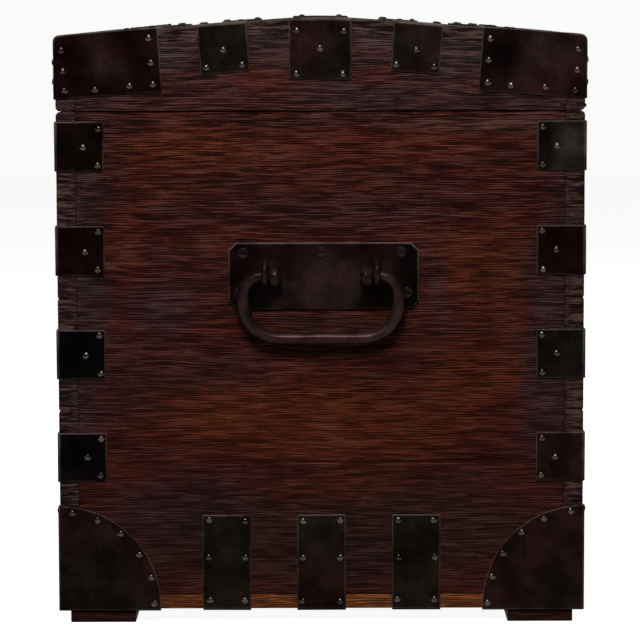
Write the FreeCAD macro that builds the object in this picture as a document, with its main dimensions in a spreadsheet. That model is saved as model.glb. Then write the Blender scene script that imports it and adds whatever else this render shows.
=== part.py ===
import FreeCAD, Part
import Sketcher
import math
import os

os.makedirs("parts", exist_ok=True)
doc = FreeCAD.newDocument("cutlery_chest")
V = FreeCAD.Vector

# The driving dimensions, in millimetres and degrees. X runs along the chest, the front faces -Y and Z is up.
# The origin is in the middle of the ground under the feet.
sheet = doc.addObject("Spreadsheet::Sheet", "sizes")
DIMENSIONS = [
    ("chest_length", 750, "over the two end boards"),
    ("chest_depth", 480, "over the front and back boards"),
    ("foot_height", 13, "ground to the underside of the bottom board"),
    ("foot_side", 60, "foot block, front to back"),
    ("foot_run", 90, "foot block, along the chest"),
    ("foot_side_inset", 8.8, "foot block in from the front or back face above it"),
    ("foot_end_inset", 2, "foot block in from the end face above it"),
    ("bottom_thickness", 13, "bottom board, its edge shows all round"),
    ("wall_height", 444, "front, back and end boards"),
    ("board", 22, "thickness of walls, lid rails and lid ends"),
    ("lap", 17.5, "front and back end grain that shows beside an end board"),
    ("arris", 2.5, "worn edge where body and lid meet"),
    ("rim_gap", 0.6, "body to closed lid"),
    ("lid_side", 67.5, "rim to the top of the lid at its front edge"),
    ("roof_slope", 4.25, "degrees, the two flat flanks of the lid"),
    ("crown_half", 55, "half the rounded middle of the lid"),
    ("roof_board", 12, "lid top boards"),
    ("roof_corner", 4.5, "rounding along the lid's front and back edges"),
    ("inner_board_edge", 89, "joint between the inner and outer lid top boards"),
    ("plate", 1.6, "iron straps and brackets"),
    ("strap", 45, "width of the corner straps"),
    ("strap_first", 438.6, "height of the middle of the top corner straps"),
    ("strap_pitch", 94.9, "corner strap to corner strap"),
    ("base_strap", 44.5, "width of the base straps"),
    ("base_strap_top", 100.5, "height of the base straps' top edge"),
    ("base_strap_pitch", 87, "base straps across an end"),
    ("side_strap_pitch", 105, "base and lid straps along the front and back"),
    ("turn_under", 30, "strap turned under the bottom board or over the lid"),
    ("bracket_radius", 92, "quarter round base brackets"),
    ("bracket_rise", 3.5, "middle of their rounding over the bottom board's underside"),
    ("bracket_lip", 8, "base bracket turned under the bottom board"),
    ("lid_bracket", 93, "lid corner bracket, from the corner both ways"),
    ("lid_bracket_drop", 56, "lid corner bracket, down from the roof"),
    ("lid_strap_drop", 44, "lid end strap, down from the roof"),
    ("middle_strap", 56.5, "width of the middle strap on a lid end"),
    ("middle_strap_drop", 54.5, "middle lid end strap, down from the roof"),
    ("lid_wrap", 45, "lid end strap, over the roof"),
    ("side_wrap", 73, "lid front and back strap, over the roof"),
    ("nail_head", 6.6, "diameter"),
    ("nail_rise", 1.9, "height of the domed head"),
    ("nail_shank", 2.6, "diameter"),
    ("nail_length", 9, "below the head"),
    ("handle_width", 173.4, "back plate of a carrying handle"),
    ("handle_height", 61, "back plate of a carrying handle"),
    ("handle_thickness", 3, "back plate of a carrying handle"),
    ("handle_corner", 7, "clipped corners of the back plate"),
    ("handle_shift", 2.6, "back plate sits off the middle, towards the back"),
    ("handle_drop", 1.4, "middle of the back plate below the axis of the bails"),
    ("pivot_height", 322, "axis of the bails"),
    ("eye_spacing", 100.6, "eye to eye"),
    ("eye_ring", 10.8, "radius to the middle of the eye's wire"),
    ("eye_wire", 5.2, "diameter"),
    ("eye_reach", 12.5, "back plate to the middle of an eye"),
    ("eye_shank", 6, "diameter"),
    ("bail_rod", 12, "diameter"),
    ("bail_end", 9.5, "diameter in the eyes"),
    ("bail_width", 141.5, "between the middles of the upright rods"),
    ("bail_drop", 57, "pivot to the middle of the grip"),
    ("bail_shoulder", 18, "upper bend radius"),
    ("bail_bend", 32, "lower bend radius"),
    ("bail_head", 19.5, "diameter of the upset ends"),
    ("bail_head_length", 12, "along the rod"),
    ("screw_head", 10, "diameter"),
    ("hinge_place", 210, "middle of a hinge from the middle of the chest"),
    ("hinge_width", 60, "along the chest"),
    ("hinge_leaf", 3, "thickness"),
    ("hinge_leaf_height", 58, "pin to the far edge of a leaf"),
    ("knuckle_radius", 5, "outside of a knuckle"),
    ("pin_radius", 2.4, "hinge pin"),
    ("running_gap", 0.05, "radial clearance on the hinge pins"),
    ("lock_width", 84, "lock case"),
    ("lock_height", 62, "lock case, down from the rim"),
    ("lock_depth", 13, "lock case, let into the front board"),
    ("lock_wall", 1.5, "lock case sheet"),
    ("key_height", 434, "middle of the keyhole"),
    ("bolt_throw", 9, "travel of the lock bolt"),
    ("tray_gap", 3, "tray to the walls of the chest"),
    ("tray_floor_height", 396, "underside of the tray"),
    ("tray_height", 70, "tray sides"),
    ("tray_wall", 9, "tray sides"),
    ("tray_panel", 5, "tray floor"),
    ("divider", 6, "tray dividers"),
    ("divider_height", 36, "tray dividers"),
    ("knife_bay", 262, "length of the compartments for knives"),
    ("fork_bay", 214, "length of the compartments for forks and spoons"),
    ("hand_hold", 96, "width of the hand holes in the tray ends"),
    ("cleat", 12, "square cleats under the tray"),
    ("baize", 1.2, "thickness of the cloth linings"),
]
for row, (alias, number, meaning) in enumerate(DIMENSIONS, start=1):
    sheet.set(f"A{row}", alias)
    sheet.set(f"B{row}", str(number))
    sheet.set(f"C{row}", meaning)
    sheet.setAlias(f"B{row}", alias)
doc.recompute()


class Size:
    """A number together with the spreadsheet expression that gives it."""

    def __init__(self, number, text):
        self.number = float(number)
        self.text = text

    def __add__(self, other):
        return joined(self, "+", other, self.number + float(other))

    def __sub__(self, other):
        return joined(self, "-", other, self.number - float(other))

    def __mul__(self, other):
        return joined(self, "*", other, self.number * float(other))

    def __truediv__(self, other):
        return joined(self, "/", other, self.number / float(other))

    def __radd__(self, other):
        return joined(other, "+", self, float(other) + self.number)

    def __rsub__(self, other):
        return joined(other, "-", self, float(other) - self.number)

    def __rmul__(self, other):
        return joined(other, "*", self, float(other) * self.number)

    def __rtruediv__(self, other):
        return joined(other, "/", self, float(other) / self.number)

    def __neg__(self):
        return Size(-self.number, f"(-1 * {self.text})")

    def __float__(self):
        return self.number


def words(size):
    """The expression text of a size or of a plain number."""
    return size.text if isinstance(size, Size) else repr(float(size))


def joined(left, sign, right, number):
    """Two sizes or numbers joined by an arithmetic sign."""
    return Size(number, f"({words(left)} {sign} {words(right)})")


def of_angle(name, angle):
    """The sine, cosine or tangent of an angle in degrees."""
    number = getattr(math, name)(math.radians(float(angle)))
    return Size(number, f"{name}({words(angle)} * 1 deg)")


class Sheet:
    """The sheet's cells as sizes: cell.board is the size under the alias board."""

    def __getattr__(self, alias):
        return Size(float(sheet.get(alias)), f"sizes.{alias}")


cell = Sheet()
pieces = {}


def bind(item, attribute, size):
    """Sets a property from a size, as an expression, or from a plain number."""
    item.setExpression(attribute, words(size))


def place(item, x, y, z):
    for letter, size in zip("xyz", (x, y, z)):
        bind(item, f"Placement.Base.{letter}", size)


def box(name, low, high):
    """A block between two opposite corners."""
    item = doc.addObject("Part::Box", name)
    for attribute, start, end in zip(("Length", "Width", "Height"), low, high):
        bind(item, attribute, end - start)
    place(item, *low)
    return item


def block(name, middle, spans):
    """A block given by its middle and its three spans."""
    low = [centre - span / 2 for centre, span in zip(middle, spans)]
    high = [centre + span / 2 for centre, span in zip(middle, spans)]
    return box(name, low, high)


TURNS = {
    "X": FreeCAD.Rotation(V(0, 1, 0), 90),
    "Y": FreeCAD.Rotation(V(1, 0, 0), -90),
    "Z": FreeCAD.Rotation(),
}


def rod(name, start, axis, radius, length):
    """A cylinder from start along +X, +Y or +Z."""
    item = doc.addObject("Part::Cylinder", name)
    bind(item, "Radius", radius)
    bind(item, "Height", length)
    item.Placement = FreeCAD.Placement(V(0, 0, 0), TURNS[axis])
    place(item, *start)
    return item


def fuse(name, *shapes):
    item = doc.addObject("Part::MultiFuse", name)
    item.Shapes = list(shapes)
    item.Refine = True
    return item


def cut(name, base, *tools):
    """The base less its tools."""
    item = doc.addObject("Part::Cut", name)
    item.Base = base
    item.Tool = tools[0] if len(tools) == 1 else fuse(f"{name}_tools", *tools)
    return item


def common(name, base, tool):
    item = doc.addObject("Part::Common", name)
    item.Base = base
    item.Tool = tool
    return item


def group(name, *shapes):
    """Separate solids kept together in one object."""
    item = doc.addObject("Part::Compound", name)
    item.Links = list(shapes)
    return item


def piece(label, item):
    """Names a finished sub-part."""
    item.Label = label
    pieces[label] = item
    return item


def outline(body, name, plane, loops):
    """A sketch of closed loops on one of the body's own planes.

    A corner is (u, v), or (u, v, radius, centre u, centre v) where an arc leaves it.
    """
    sketch = body.newObject("Sketcher::SketchObject", name)
    support = [item for item in body.Origin.OriginFeatures if item.Role == plane][0]
    sketch.AttachmentSupport = [(support, "")]
    sketch.MapMode = "FlatFace"
    for corners in loops:
        ends = []
        for index, corner in enumerate(corners):
            start = V(float(corner[0]), float(corner[1]), 0)
            following = corners[(index + 1) % len(corners)]
            end = V(float(following[0]), float(following[1]), 0)
            if len(corner) == 2:
                edge = sketch.addGeometry(Part.LineSegment(start, end))
                ends.append((edge, 1, 2))
                continue
            centre = V(float(corner[3]), float(corner[4]), 0)
            middle = (start + end) * 0.5 - centre
            middle.normalize()
            middle = centre + middle * float(corner[2])
            if (start - centre).cross(end - centre).z > 0:
                edge = sketch.addGeometry(Part.Arc(start, middle, end))
                ends.append((edge, 1, 2))
            else:
                edge = sketch.addGeometry(Part.Arc(end, middle, start))
                ends.append((edge, 2, 1))
        for index, corner in enumerate(corners):
            edge, begins, stops = ends[index]
            following = ends[(index + 1) % len(corners)]
            sketch.addConstraint(Sketcher.Constraint("Coincident", edge, stops, following[0], following[1]))
            rules = [
                (Sketcher.Constraint("DistanceX", -1, 1, edge, begins, float(corner[0])), corner[0]),
                (Sketcher.Constraint("DistanceY", -1, 1, edge, begins, float(corner[1])), corner[1]),
            ]
            if len(corner) > 2:
                rules.append((Sketcher.Constraint("Radius", edge, float(corner[2])), corner[2]))
            for rule, size in rules:
                number = sketch.addConstraint(rule)
                bind(sketch, f"Constraints[{number}]", size)
    return sketch


def pad(name, plane, loops, start, end):
    """A body padded from an outline, from start to end along the plane's normal, +X, -Y or +Z."""
    body = doc.addObject("PartDesign::Body", name)
    sketch = outline(body, f"{name}_outline", plane, loops)
    bind(sketch, "AttachmentOffset.Base.z", start)
    feature = body.newObject("PartDesign::Pad", f"{name}_pad")
    feature.Profile = sketch
    bind(feature, "Length", end - start)
    return body


def rectangle(left, bottom, right, top):
    return [(left, bottom), (right, bottom), (right, top), (left, top)]


# Levels and half sizes that most pieces share.
half_length = cell.chest_length / 2
half_depth = cell.chest_depth / 2
underside = cell.foot_height
floor_top = underside + cell.bottom_thickness
rim = floor_top + cell.wall_height
lid_base = rim + cell.rim_gap
inner_x = half_length - cell.board
inner_y = half_depth - cell.board
lap_y = half_depth - cell.lap

# The lid's roof: two flanks at the roof slope, with a crown arc between them.
slope_sine = of_angle("sin", cell.roof_slope)
slope_cosine = of_angle("cos", cell.roof_slope)
slope_tangent = of_angle("tan", cell.roof_slope)
roof_edge = rim + cell.lid_side
crown_radius = cell.crown_half / slope_sine
crown_centre = roof_edge + (half_depth - cell.crown_half) * slope_tangent - crown_radius * slope_cosine
corner_centre = roof_edge + cell.roof_corner * slope_tangent - cell.roof_corner / slope_cosine


def flank(distance, proud=0):
    """Height of a line parallel to the roof's flank, at a distance from the middle of the chest."""
    return roof_edge + (half_depth - distance) * slope_tangent + proud / slope_cosine


def roof_height(y, proud=0):
    """Height of the roof at any y, as a plain number."""
    radius = float(crown_radius) + proud
    if abs(y) < radius * float(slope_sine):
        return float(crown_centre) + math.sqrt(radius**2 - y**2)
    return float(flank(abs(y), proud))


def crown_point(side, proud=0):
    """Where a flank meets the crown arc."""
    radius = crown_radius + proud
    return side * radius * slope_sine, crown_centre + radius * slope_cosine


def roof_loop(bottom, proud):
    """The lid's whole outline, standing proud of the boards by a thickness."""
    edge = half_depth + proud
    radius = cell.roof_corner + proud
    turn = half_depth - cell.roof_corner
    shoulder = turn + radius * slope_sine
    shoulder_height = corner_centre + radius * slope_cosine
    right = crown_point(1, proud)
    left = crown_point(-1, proud)
    return [
        (-edge, bottom),
        (edge, bottom),
        (edge, corner_centre, radius, turn, corner_centre),
        (shoulder, shoulder_height),
        (right[0], right[1], crown_radius + proud, 0, crown_centre),
        left,
        (-shoulder, shoulder_height, radius, -turn, corner_centre),
        (-edge, corner_centre),
    ]


# The carcass: front and back boards rebated over the ends, all standing on the bottom board.
def long_board(name, side, profile):
    """A board as long as the chest, rebated at both ends for the board that closes them."""
    stock = pad(f"{name}_stock", "YZ_Plane", [profile], -half_length, half_length)
    near, far = (inner_y, lap_y) if side > 0 else (-lap_y, -inner_y)
    right = box(f"{name}_right_rebate", (inner_x, near, 0), (half_length, far, roof_edge))
    left = box(f"{name}_left_rebate", (-half_length, near, 0), (-inner_x, far, roof_edge))
    return stock, right, left


def wall_profile(side):
    return [
        (side * inner_y, floor_top),
        (side * half_depth, floor_top),
        (side * half_depth, rim - cell.arris),
        (side * (half_depth - cell.arris), rim),
        (side * inner_y, rim),
    ]


PAST = 1
lock_foot = rim - cell.lock_height
lock_back = -inner_y - cell.lock_depth
lock_low = (-cell.lock_width / 2, lock_back, lock_foot)
lock_high = (cell.lock_width / 2, -inner_y, rim)
KEY_PIN = 2.6
KEY_SLOT = 1.3
KEY_DROP = 9


def keyhole(name, start, end):
    """A round hole with a slot below it, from y start to y end."""
    eye = rod(f"{name}_eye", (0, start, cell.key_height), "Y", KEY_PIN, end - start)
    slot_low = (-KEY_SLOT, start, cell.key_height - KEY_DROP)
    slot = box(f"{name}_slot", slot_low, (KEY_SLOT, end, cell.key_height))
    return fuse(name, eye, slot)


front_mortise = box("front_mortise", lock_low, lock_high)
front_keyhole = keyhole("front_keyhole", -half_depth - PAST, lock_back + PAST)
front_parts = long_board("front_board", -1, wall_profile(-1))
piece("front_board", cut("front_board", front_parts[0], *front_parts[1:], front_mortise, front_keyhole))
back_parts = long_board("back_board", 1, wall_profile(1))
piece("back_board", cut("back_board", *back_parts))


def end_profile(side):
    return [
        (side * inner_x, floor_top),
        (side * half_length, floor_top),
        (side * half_length, rim - cell.arris),
        (side * (half_length - cell.arris), rim),
        (side * inner_x, rim),
    ]


SIDES = (("left", -1), ("right", 1))
FACES = (("front", -1), ("back", 1))
for word, side in SIDES:
    piece(f"{word}_end_board", pad(f"{word}_end_board", "XZ_Plane", [end_profile(side)], -lap_y, lap_y))

floor_plan = [rectangle(-half_length, -half_depth, half_length, half_depth)]
piece("bottom_board", pad("bottom_board", "XY_Plane", floor_plan, underside, floor_top))


# Carcass ironwork: each strap or bracket is cut from one skin of plate that wraps the boards. The foot blocks
# are let over the turned edges of the base brackets.
carcass_core = box("carcass_core", (-half_length, -half_depth, underside), (half_length, half_depth, rim))
carcass_skin = cut(
    "carcass_skin",
    box(
        "carcass_wrap",
        (-half_length - cell.plate, -half_depth - cell.plate, underside - cell.plate),
        (half_length + cell.plate, half_depth + cell.plate, rim),
    ),
    carcass_core,
)
STRAPS_PER_CORNER = 4
CLEAR = 5


def corner_strap_heights():
    return [cell.strap_first - index * cell.strap_pitch for index in range(STRAPS_PER_CORNER)]


for face, front in FACES:
    for word, side in SIDES:
        bands = []
        for index, height in enumerate(corner_strap_heights()):
            corner = (side * (half_length + cell.plate), front * (half_depth + cell.plate), height)
            spans = (cell.strap * 2, cell.strap * 2, cell.strap)
            bands.append(block(f"{face}_{word}_band_{index + 1}", corner, spans))
        bands = group(f"{face}_{word}_bands", *bands)
        piece(f"{face}_{word}_corner_straps", common(f"{face}_{word}_corner_straps", carcass_skin, bands))

        lip = cell.bracket_lip
        disc = cell.bracket_radius
        disc_height = underside + cell.bracket_rise
        deep = lip + cell.plate + CLEAR
        end_start = half_length - lip if side > 0 else -half_length + lip - deep
        face_start = half_depth - lip if front > 0 else -half_depth + lip - deep
        quadrants = fuse(
            f"{face}_{word}_quadrants",
            rod(f"{face}_{word}_end_disc", (end_start, front * half_depth, disc_height), "X", disc, deep),
            rod(f"{face}_{word}_face_disc", (side * half_length, face_start, disc_height), "Y", disc, deep),
        )
        bracket = common(f"{face}_{word}_base_bracket", carcass_skin, quadrants)
        piece(f"{face}_{word}_base_bracket", bracket)

        middle = (
            side * (half_length - cell.foot_end_inset - cell.foot_run / 2),
            front * (half_depth - cell.foot_side_inset - cell.foot_side / 2),
            underside / 2,
        )
        blank = block(f"{face}_{word}_foot_blank", middle, (cell.foot_run, cell.foot_side, underside))
        piece(f"{face}_{word}_foot", cut(f"{face}_{word}_foot", blank, bracket))

END_STRAPS = (-1, 0, 1)
SIDE_STRAPS = (-2, -1, 0, 1, 2)
base_low = underside - cell.plate
for word, side in SIDES:
    bands = []
    for index in END_STRAPS:
        low_x, high_x = half_length - cell.turn_under, half_length + cell.plate
        if side < 0:
            low_x, high_x = -high_x, -low_x
        middle_y = index * cell.base_strap_pitch
        low = (low_x, middle_y - cell.base_strap / 2, base_low)
        high = (high_x, middle_y + cell.base_strap / 2, cell.base_strap_top)
        bands.append(box(f"{word}_base_band_{index + 2}", low, high))
    bands = group(f"{word}_base_bands", *bands)
    piece(f"{word}_base_straps", common(f"{word}_base_straps", carcass_skin, bands))
for face, front in FACES:
    bands = []
    for index in SIDE_STRAPS:
        low_y, high_y = half_depth - cell.turn_under, half_depth + cell.plate
        if front < 0:
            low_y, high_y = -high_y, -low_y
        middle_x = index * cell.side_strap_pitch
        low = (middle_x - cell.base_strap / 2, low_y, base_low)
        high = (middle_x + cell.base_strap / 2, high_y, cell.base_strap_top)
        bands.append(box(f"{face}_base_band_{index + 3}", low, high))
    bands = group(f"{face}_base_bands", *bands)
    piece(f"{face}_base_straps", common(f"{face}_base_straps", carcass_skin, bands))


# The lid: two rails and two ends under four top boards, whose joints the inner end straps cover.
def lining(distance):
    """Height of the underside of the roof boards over a flank."""
    return flank(distance, -1 * cell.roof_board)


def rail_profile(side):
    return [
        (side * inner_y, lid_base),
        (side * (half_depth - cell.arris), lid_base),
        (side * half_depth, lid_base + cell.arris),
        (side * half_depth, lining(half_depth)),
        (side * inner_y, lining(inner_y)),
    ]


LINK_HALF = 28
LINK_INSET = 15.5
LINK_DEEP = 12
LINK_PLATE = 2
link_y = LINK_INSET - half_depth
link_low = (-LINK_HALF, link_y - LINK_DEEP / 2, lid_base)
link_high = (LINK_HALF, link_y + LINK_DEEP / 2, lid_base + LINK_PLATE)
link_recess = box("link_recess", link_low, link_high)
rail_parts = long_board("lid_front_rail", -1, rail_profile(-1))
piece("lid_front_rail", cut("lid_front_rail", *rail_parts, link_recess))
rail_parts = long_board("lid_back_rail", 1, rail_profile(1))
piece("lid_back_rail", cut("lid_back_rail", *rail_parts))

under_crown_right = crown_point(1, -1 * cell.roof_board)
under_crown_left = crown_point(-1, -1 * cell.roof_board)
lid_end_profile = [
    (-lap_y, lid_base),
    (lap_y, lid_base),
    (lap_y, lining(lap_y)),
    (under_crown_right[0], under_crown_right[1], crown_radius - cell.roof_board, 0, crown_centre),
    under_crown_left,
    (-lap_y, lining(lap_y)),
]
piece("lid_left_end", pad("lid_left_end", "YZ_Plane", [lid_end_profile], -half_length, -inner_x))
piece("lid_right_end", pad("lid_right_end", "YZ_Plane", [lid_end_profile], inner_x, half_length))

for face, front in FACES:
    joint = cell.inner_board_edge
    crown = crown_point(front)
    under = crown_point(front, -1 * cell.roof_board)
    turn = half_depth - cell.roof_corner
    outer_profile = [
        (front * joint, lining(joint)),
        (front * half_depth, lining(half_depth)),
        (front * half_depth, corner_centre, cell.roof_corner, front * turn, corner_centre),
        (front * (turn + cell.roof_corner * slope_sine), corner_centre + cell.roof_corner * slope_cosine),
        (front * joint, flank(joint)),
    ]
    inner_profile = [
        (front * joint, flank(joint)),
        (crown[0], crown[1], crown_radius, 0, crown_centre),
        (0, crown_centre + crown_radius),
        (0, crown_centre + crown_radius - cell.roof_board, crown_radius - cell.roof_board, 0, crown_centre),
        under,
        (front * joint, lining(joint)),
    ]
    for word, profile in (("outer", outer_profile), ("inner", inner_profile)):
        label = f"lid_{face}_{word}_board"
        piece(label, pad(label, "YZ_Plane", [profile], -half_length, half_length))


# Lid ironwork, cut from a skin of plate that wraps the roof and the lid's four sides.
lid_core = pad("lid_core", "YZ_Plane", [roof_loop(lid_base, 0)], -half_length, half_length)
lid_wrap = pad(
    "lid_wrap",
    "YZ_Plane",
    [roof_loop(lid_base, cell.plate)],
    -half_length - cell.plate,
    half_length + cell.plate,
)
lid_skin = cut("lid_skin", lid_wrap, lid_core)


def tilted(name, along, point, tilt, across, drop, rise):
    """A block turned with the roof about X. Its point is (y, z), and across runs along the slope."""
    sine = tilt * slope_sine
    cosine = slope_cosine if tilt else 1
    item = doc.addObject("Part::Box", name)
    bind(item, "Length", along[1] - along[0])
    bind(item, "Width", across[1] - across[0])
    bind(item, "Height", drop + rise)
    item.Placement = FreeCAD.Placement(V(0, 0, 0), FreeCAD.Rotation(V(1, 0, 0), 1))
    bind(item, "Placement.Rotation.Angle", tilt * cell.roof_slope)
    y = point[0] + across[0] * cosine + drop * sine
    z = point[1] + across[0] * sine - drop * cosine
    place(item, along[0], y, z)
    return item


def end_reach(side, wrap):
    """From a wrap over the roof to just past the plate on an end."""
    low, high = half_length - wrap, half_length + cell.plate + CLEAR
    return (low, high) if side > 0 else (-high, -low)


BRACKET_CLEAR = 20
crown_top = crown_centre + crown_radius
for face, front in FACES:
    for word, side in SIDES:
        across = (-CLEAR * 2, cell.lid_bracket) if front < 0 else (-cell.lid_bracket, CLEAR * 2)
        along = end_reach(side, cell.lid_bracket)
        point = (front * half_depth, roof_edge)
        drop = cell.lid_bracket_drop
        region = tilted(f"lid_{face}_{word}_region", along, point, -front, across, drop, BRACKET_CLEAR)
        piece(f"lid_{face}_{word}_bracket", common(f"lid_{face}_{word}_bracket", lid_skin, region))

STRAP_TILTS = ((-1, 1), (1, -1))
for word, side in SIDES:
    along = end_reach(side, cell.lid_wrap)
    half_strap = cell.base_strap / 2
    bands = []
    for position, tilt in STRAP_TILTS:
        point = (position * cell.inner_board_edge, flank(cell.inner_board_edge))
        across = (-half_strap, half_strap)
        name = f"lid_{word}_band_{position + 2}"
        bands.append(tilted(name, along, point, tilt, across, cell.lid_strap_drop, CLEAR))
    half_middle = cell.middle_strap / 2
    low = (along[0], -half_middle, crown_top - cell.middle_strap_drop)
    high = (along[1], half_middle, crown_top + CLEAR)
    bands.append(box(f"lid_{word}_band_2", low, high))
    bands = group(f"lid_{word}_bands", *bands)
    piece(f"lid_{word}_straps", common(f"lid_{word}_straps", lid_skin, bands))

LID_SIDE_STRAPS = {"front": SIDE_STRAPS, "back": (-1, 0, 1)}
for face, front in FACES:
    bands = []
    for index in LID_SIDE_STRAPS[face]:
        low_y, high_y = half_depth - cell.side_wrap, half_depth + cell.plate
        if front < 0:
            low_y, high_y = -high_y, -low_y
        middle_x = index * cell.side_strap_pitch
        low = (middle_x - cell.base_strap / 2, low_y, roof_edge - cell.lid_strap_drop)
        high = (middle_x + cell.base_strap / 2, high_y, crown_top)
        bands.append(box(f"lid_{face}_band_{index + 3}", low, high))
    bands = group(f"lid_{face}_bands", *bands)
    piece(f"lid_{face}_straps", common(f"lid_{face}_straps", lid_skin, bands))


# Carrying handles: a back plate, two eyes driven through it, and a bail whose upset ends hang in them.
EYE_DEEP = 18
SCREW_RISE = 1.4
SCREW_SLOT = 1.4
SCREW_DEEP = 20
SCREW_SHANK = 2.4
HEAD_PLAY = 1
plate_face = half_length + cell.handle_thickness
eye_place = plate_face + cell.eye_reach
half_eyes = cell.eye_spacing / 2
HANG = 0.25
eye_height = cell.pivot_height + cell.eye_ring - cell.eye_wire / 2 - cell.bail_end / 2 - HANG
plate_left = cell.handle_shift - cell.handle_width / 2
plate_right = cell.handle_shift + cell.handle_width / 2
plate_middle = cell.pivot_height - cell.handle_drop
plate_low = plate_middle - cell.handle_height / 2
plate_high = plate_middle + cell.handle_height / 2
clip = cell.handle_corner
PLATE_OUTLINE = [
    (plate_left + clip, plate_low),
    (plate_right - clip, plate_low),
    (plate_right, plate_low + clip),
    (plate_right, plate_high - clip),
    (plate_right - clip, plate_high),
    (plate_left + clip, plate_high),
    (plate_left, plate_high - clip),
    (plate_left, plate_low + clip),
]
SCREWS = ((-73, 21), (-1.5, 21.5), (70.5, 22), (-77, -15), (76, -15))


def quarter_bend(name, place_x, centre, radius, start, thick):
    """A quarter of a ring in the plane of an end face, anticlockwise from the start direction."""
    item = doc.addObject("Part::Torus", name)
    bind(item, "Radius1", radius)
    bind(item, "Radius2", thick)
    item.Angle3 = 90
    axis = V(1, 0, 0)
    item.Placement = FreeCAD.Placement(V(0, 0, 0), FreeCAD.Rotation(start, axis.cross(start), axis, "XYZ"))
    place(item, place_x, centre[0], centre[1])
    return item


def bail(name, place_x):
    half_width = cell.bail_width / 2
    pivot = cell.pivot_height
    grip = pivot - cell.bail_drop
    thick = cell.bail_rod / 2
    upper = half_width - cell.bail_shoulder
    lower = half_width - cell.bail_bend
    top = pivot - cell.bail_shoulder
    foot = grip + cell.bail_bend
    inner_head = half_eyes - cell.eye_wire / 2 - HEAD_PLAY - cell.bail_head_length
    shapes = [
        quarter_bend(f"{name}_bend_1", place_x, (-lower, foot), cell.bail_bend, V(0, -1, 0), thick),
        quarter_bend(f"{name}_bend_2", place_x, (lower, foot), cell.bail_bend, V(0, 0, -1), thick),
        quarter_bend(f"{name}_bend_3", place_x, (-upper, top), cell.bail_shoulder, V(0, 0, 1), thick),
        quarter_bend(f"{name}_bend_4", place_x, (upper, top), cell.bail_shoulder, V(0, 1, 0), thick),
        rod(f"{name}_grip", (place_x, -lower, grip), "Y", thick, lower * 2),
        rod(f"{name}_upright_1", (place_x, -half_width, foot), "Z", thick, top - foot),
        rod(f"{name}_upright_2", (place_x, half_width, foot), "Z", thick, top - foot),
    ]
    for number, side in ((1, -1), (2, 1)):
        near = inner_head if side > 0 else -upper
        far = upper if side > 0 else -inner_head
        start = (place_x, near, pivot)
        shapes.append(rod(f"{name}_end_{number}", start, "Y", cell.bail_end / 2, far - near))
        head = inner_head if side > 0 else -inner_head - cell.bail_head_length
        start = (place_x, head, pivot)
        shapes.append(rod(f"{name}_head_{number}", start, "Y", cell.bail_head / 2, cell.bail_head_length))
    return fuse(name, *shapes)


def slotted_screw(name, side, y, z):
    """A flat headed screw whose slot stands a little off level."""
    radius = cell.screw_head / 2
    start = plate_face if side > 0 else -plate_face - SCREW_RISE
    tip = plate_face - SCREW_DEEP if side > 0 else -plate_face
    head = rod(f"{name}_head", (start, y, z), "X", radius, SCREW_RISE)
    shank = rod(f"{name}_shank", (tip, y, z), "X", SCREW_SHANK, SCREW_DEEP)
    reach = side * (plate_face + SCREW_RISE)
    slot = block(f"{name}_slot", (reach, y, z), (SCREW_RISE, cell.screw_head * 2, SCREW_SLOT))
    return cut(name, fuse(f"{name}_blank", head, shank), slot)


screws = []
for word, side in SIDES:
    start, end = (half_length, plate_face) if side > 0 else (-plate_face, -half_length)
    piece(f"{word}_handle_plate", pad(f"{word}_handle_plate", "YZ_Plane", [PLATE_OUTLINE], start, end))
    eyes = []
    for number, position in ((1, -1), (2, 1)):
        ring = doc.addObject("Part::Torus", f"{word}_ring_{number}")
        bind(ring, "Radius1", cell.eye_ring)
        bind(ring, "Radius2", cell.eye_wire / 2)
        ring.Placement = FreeCAD.Placement(V(0, 0, 0), TURNS["Y"])
        y = position * half_eyes
        place(ring, side * eye_place, y, eye_height)
        shank_end = eye_place - cell.eye_ring
        shank_start = half_length - EYE_DEEP
        tip = (shank_start if side > 0 else -shank_end, y, eye_height)
        shank = rod(f"{word}_shank_{number}", tip, "X", cell.eye_shank / 2, shank_end - shank_start)
        eyes.append(fuse(f"{word}_eye_{number}", ring, shank))
    piece(f"{word}_handle_eyes", group(f"{word}_handle_eyes", *eyes))
    piece(f"{word}_bail", bail(f"{word}_bail", side * eye_place))
    for number, (across, up) in enumerate(SCREWS, start=1):
        y = cell.handle_shift + across
        screws.append(slotted_screw(f"{word}_screw_{number}", side, y, plate_middle + up))
piece("handle_screws", group("handle_screws", *screws))


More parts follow.
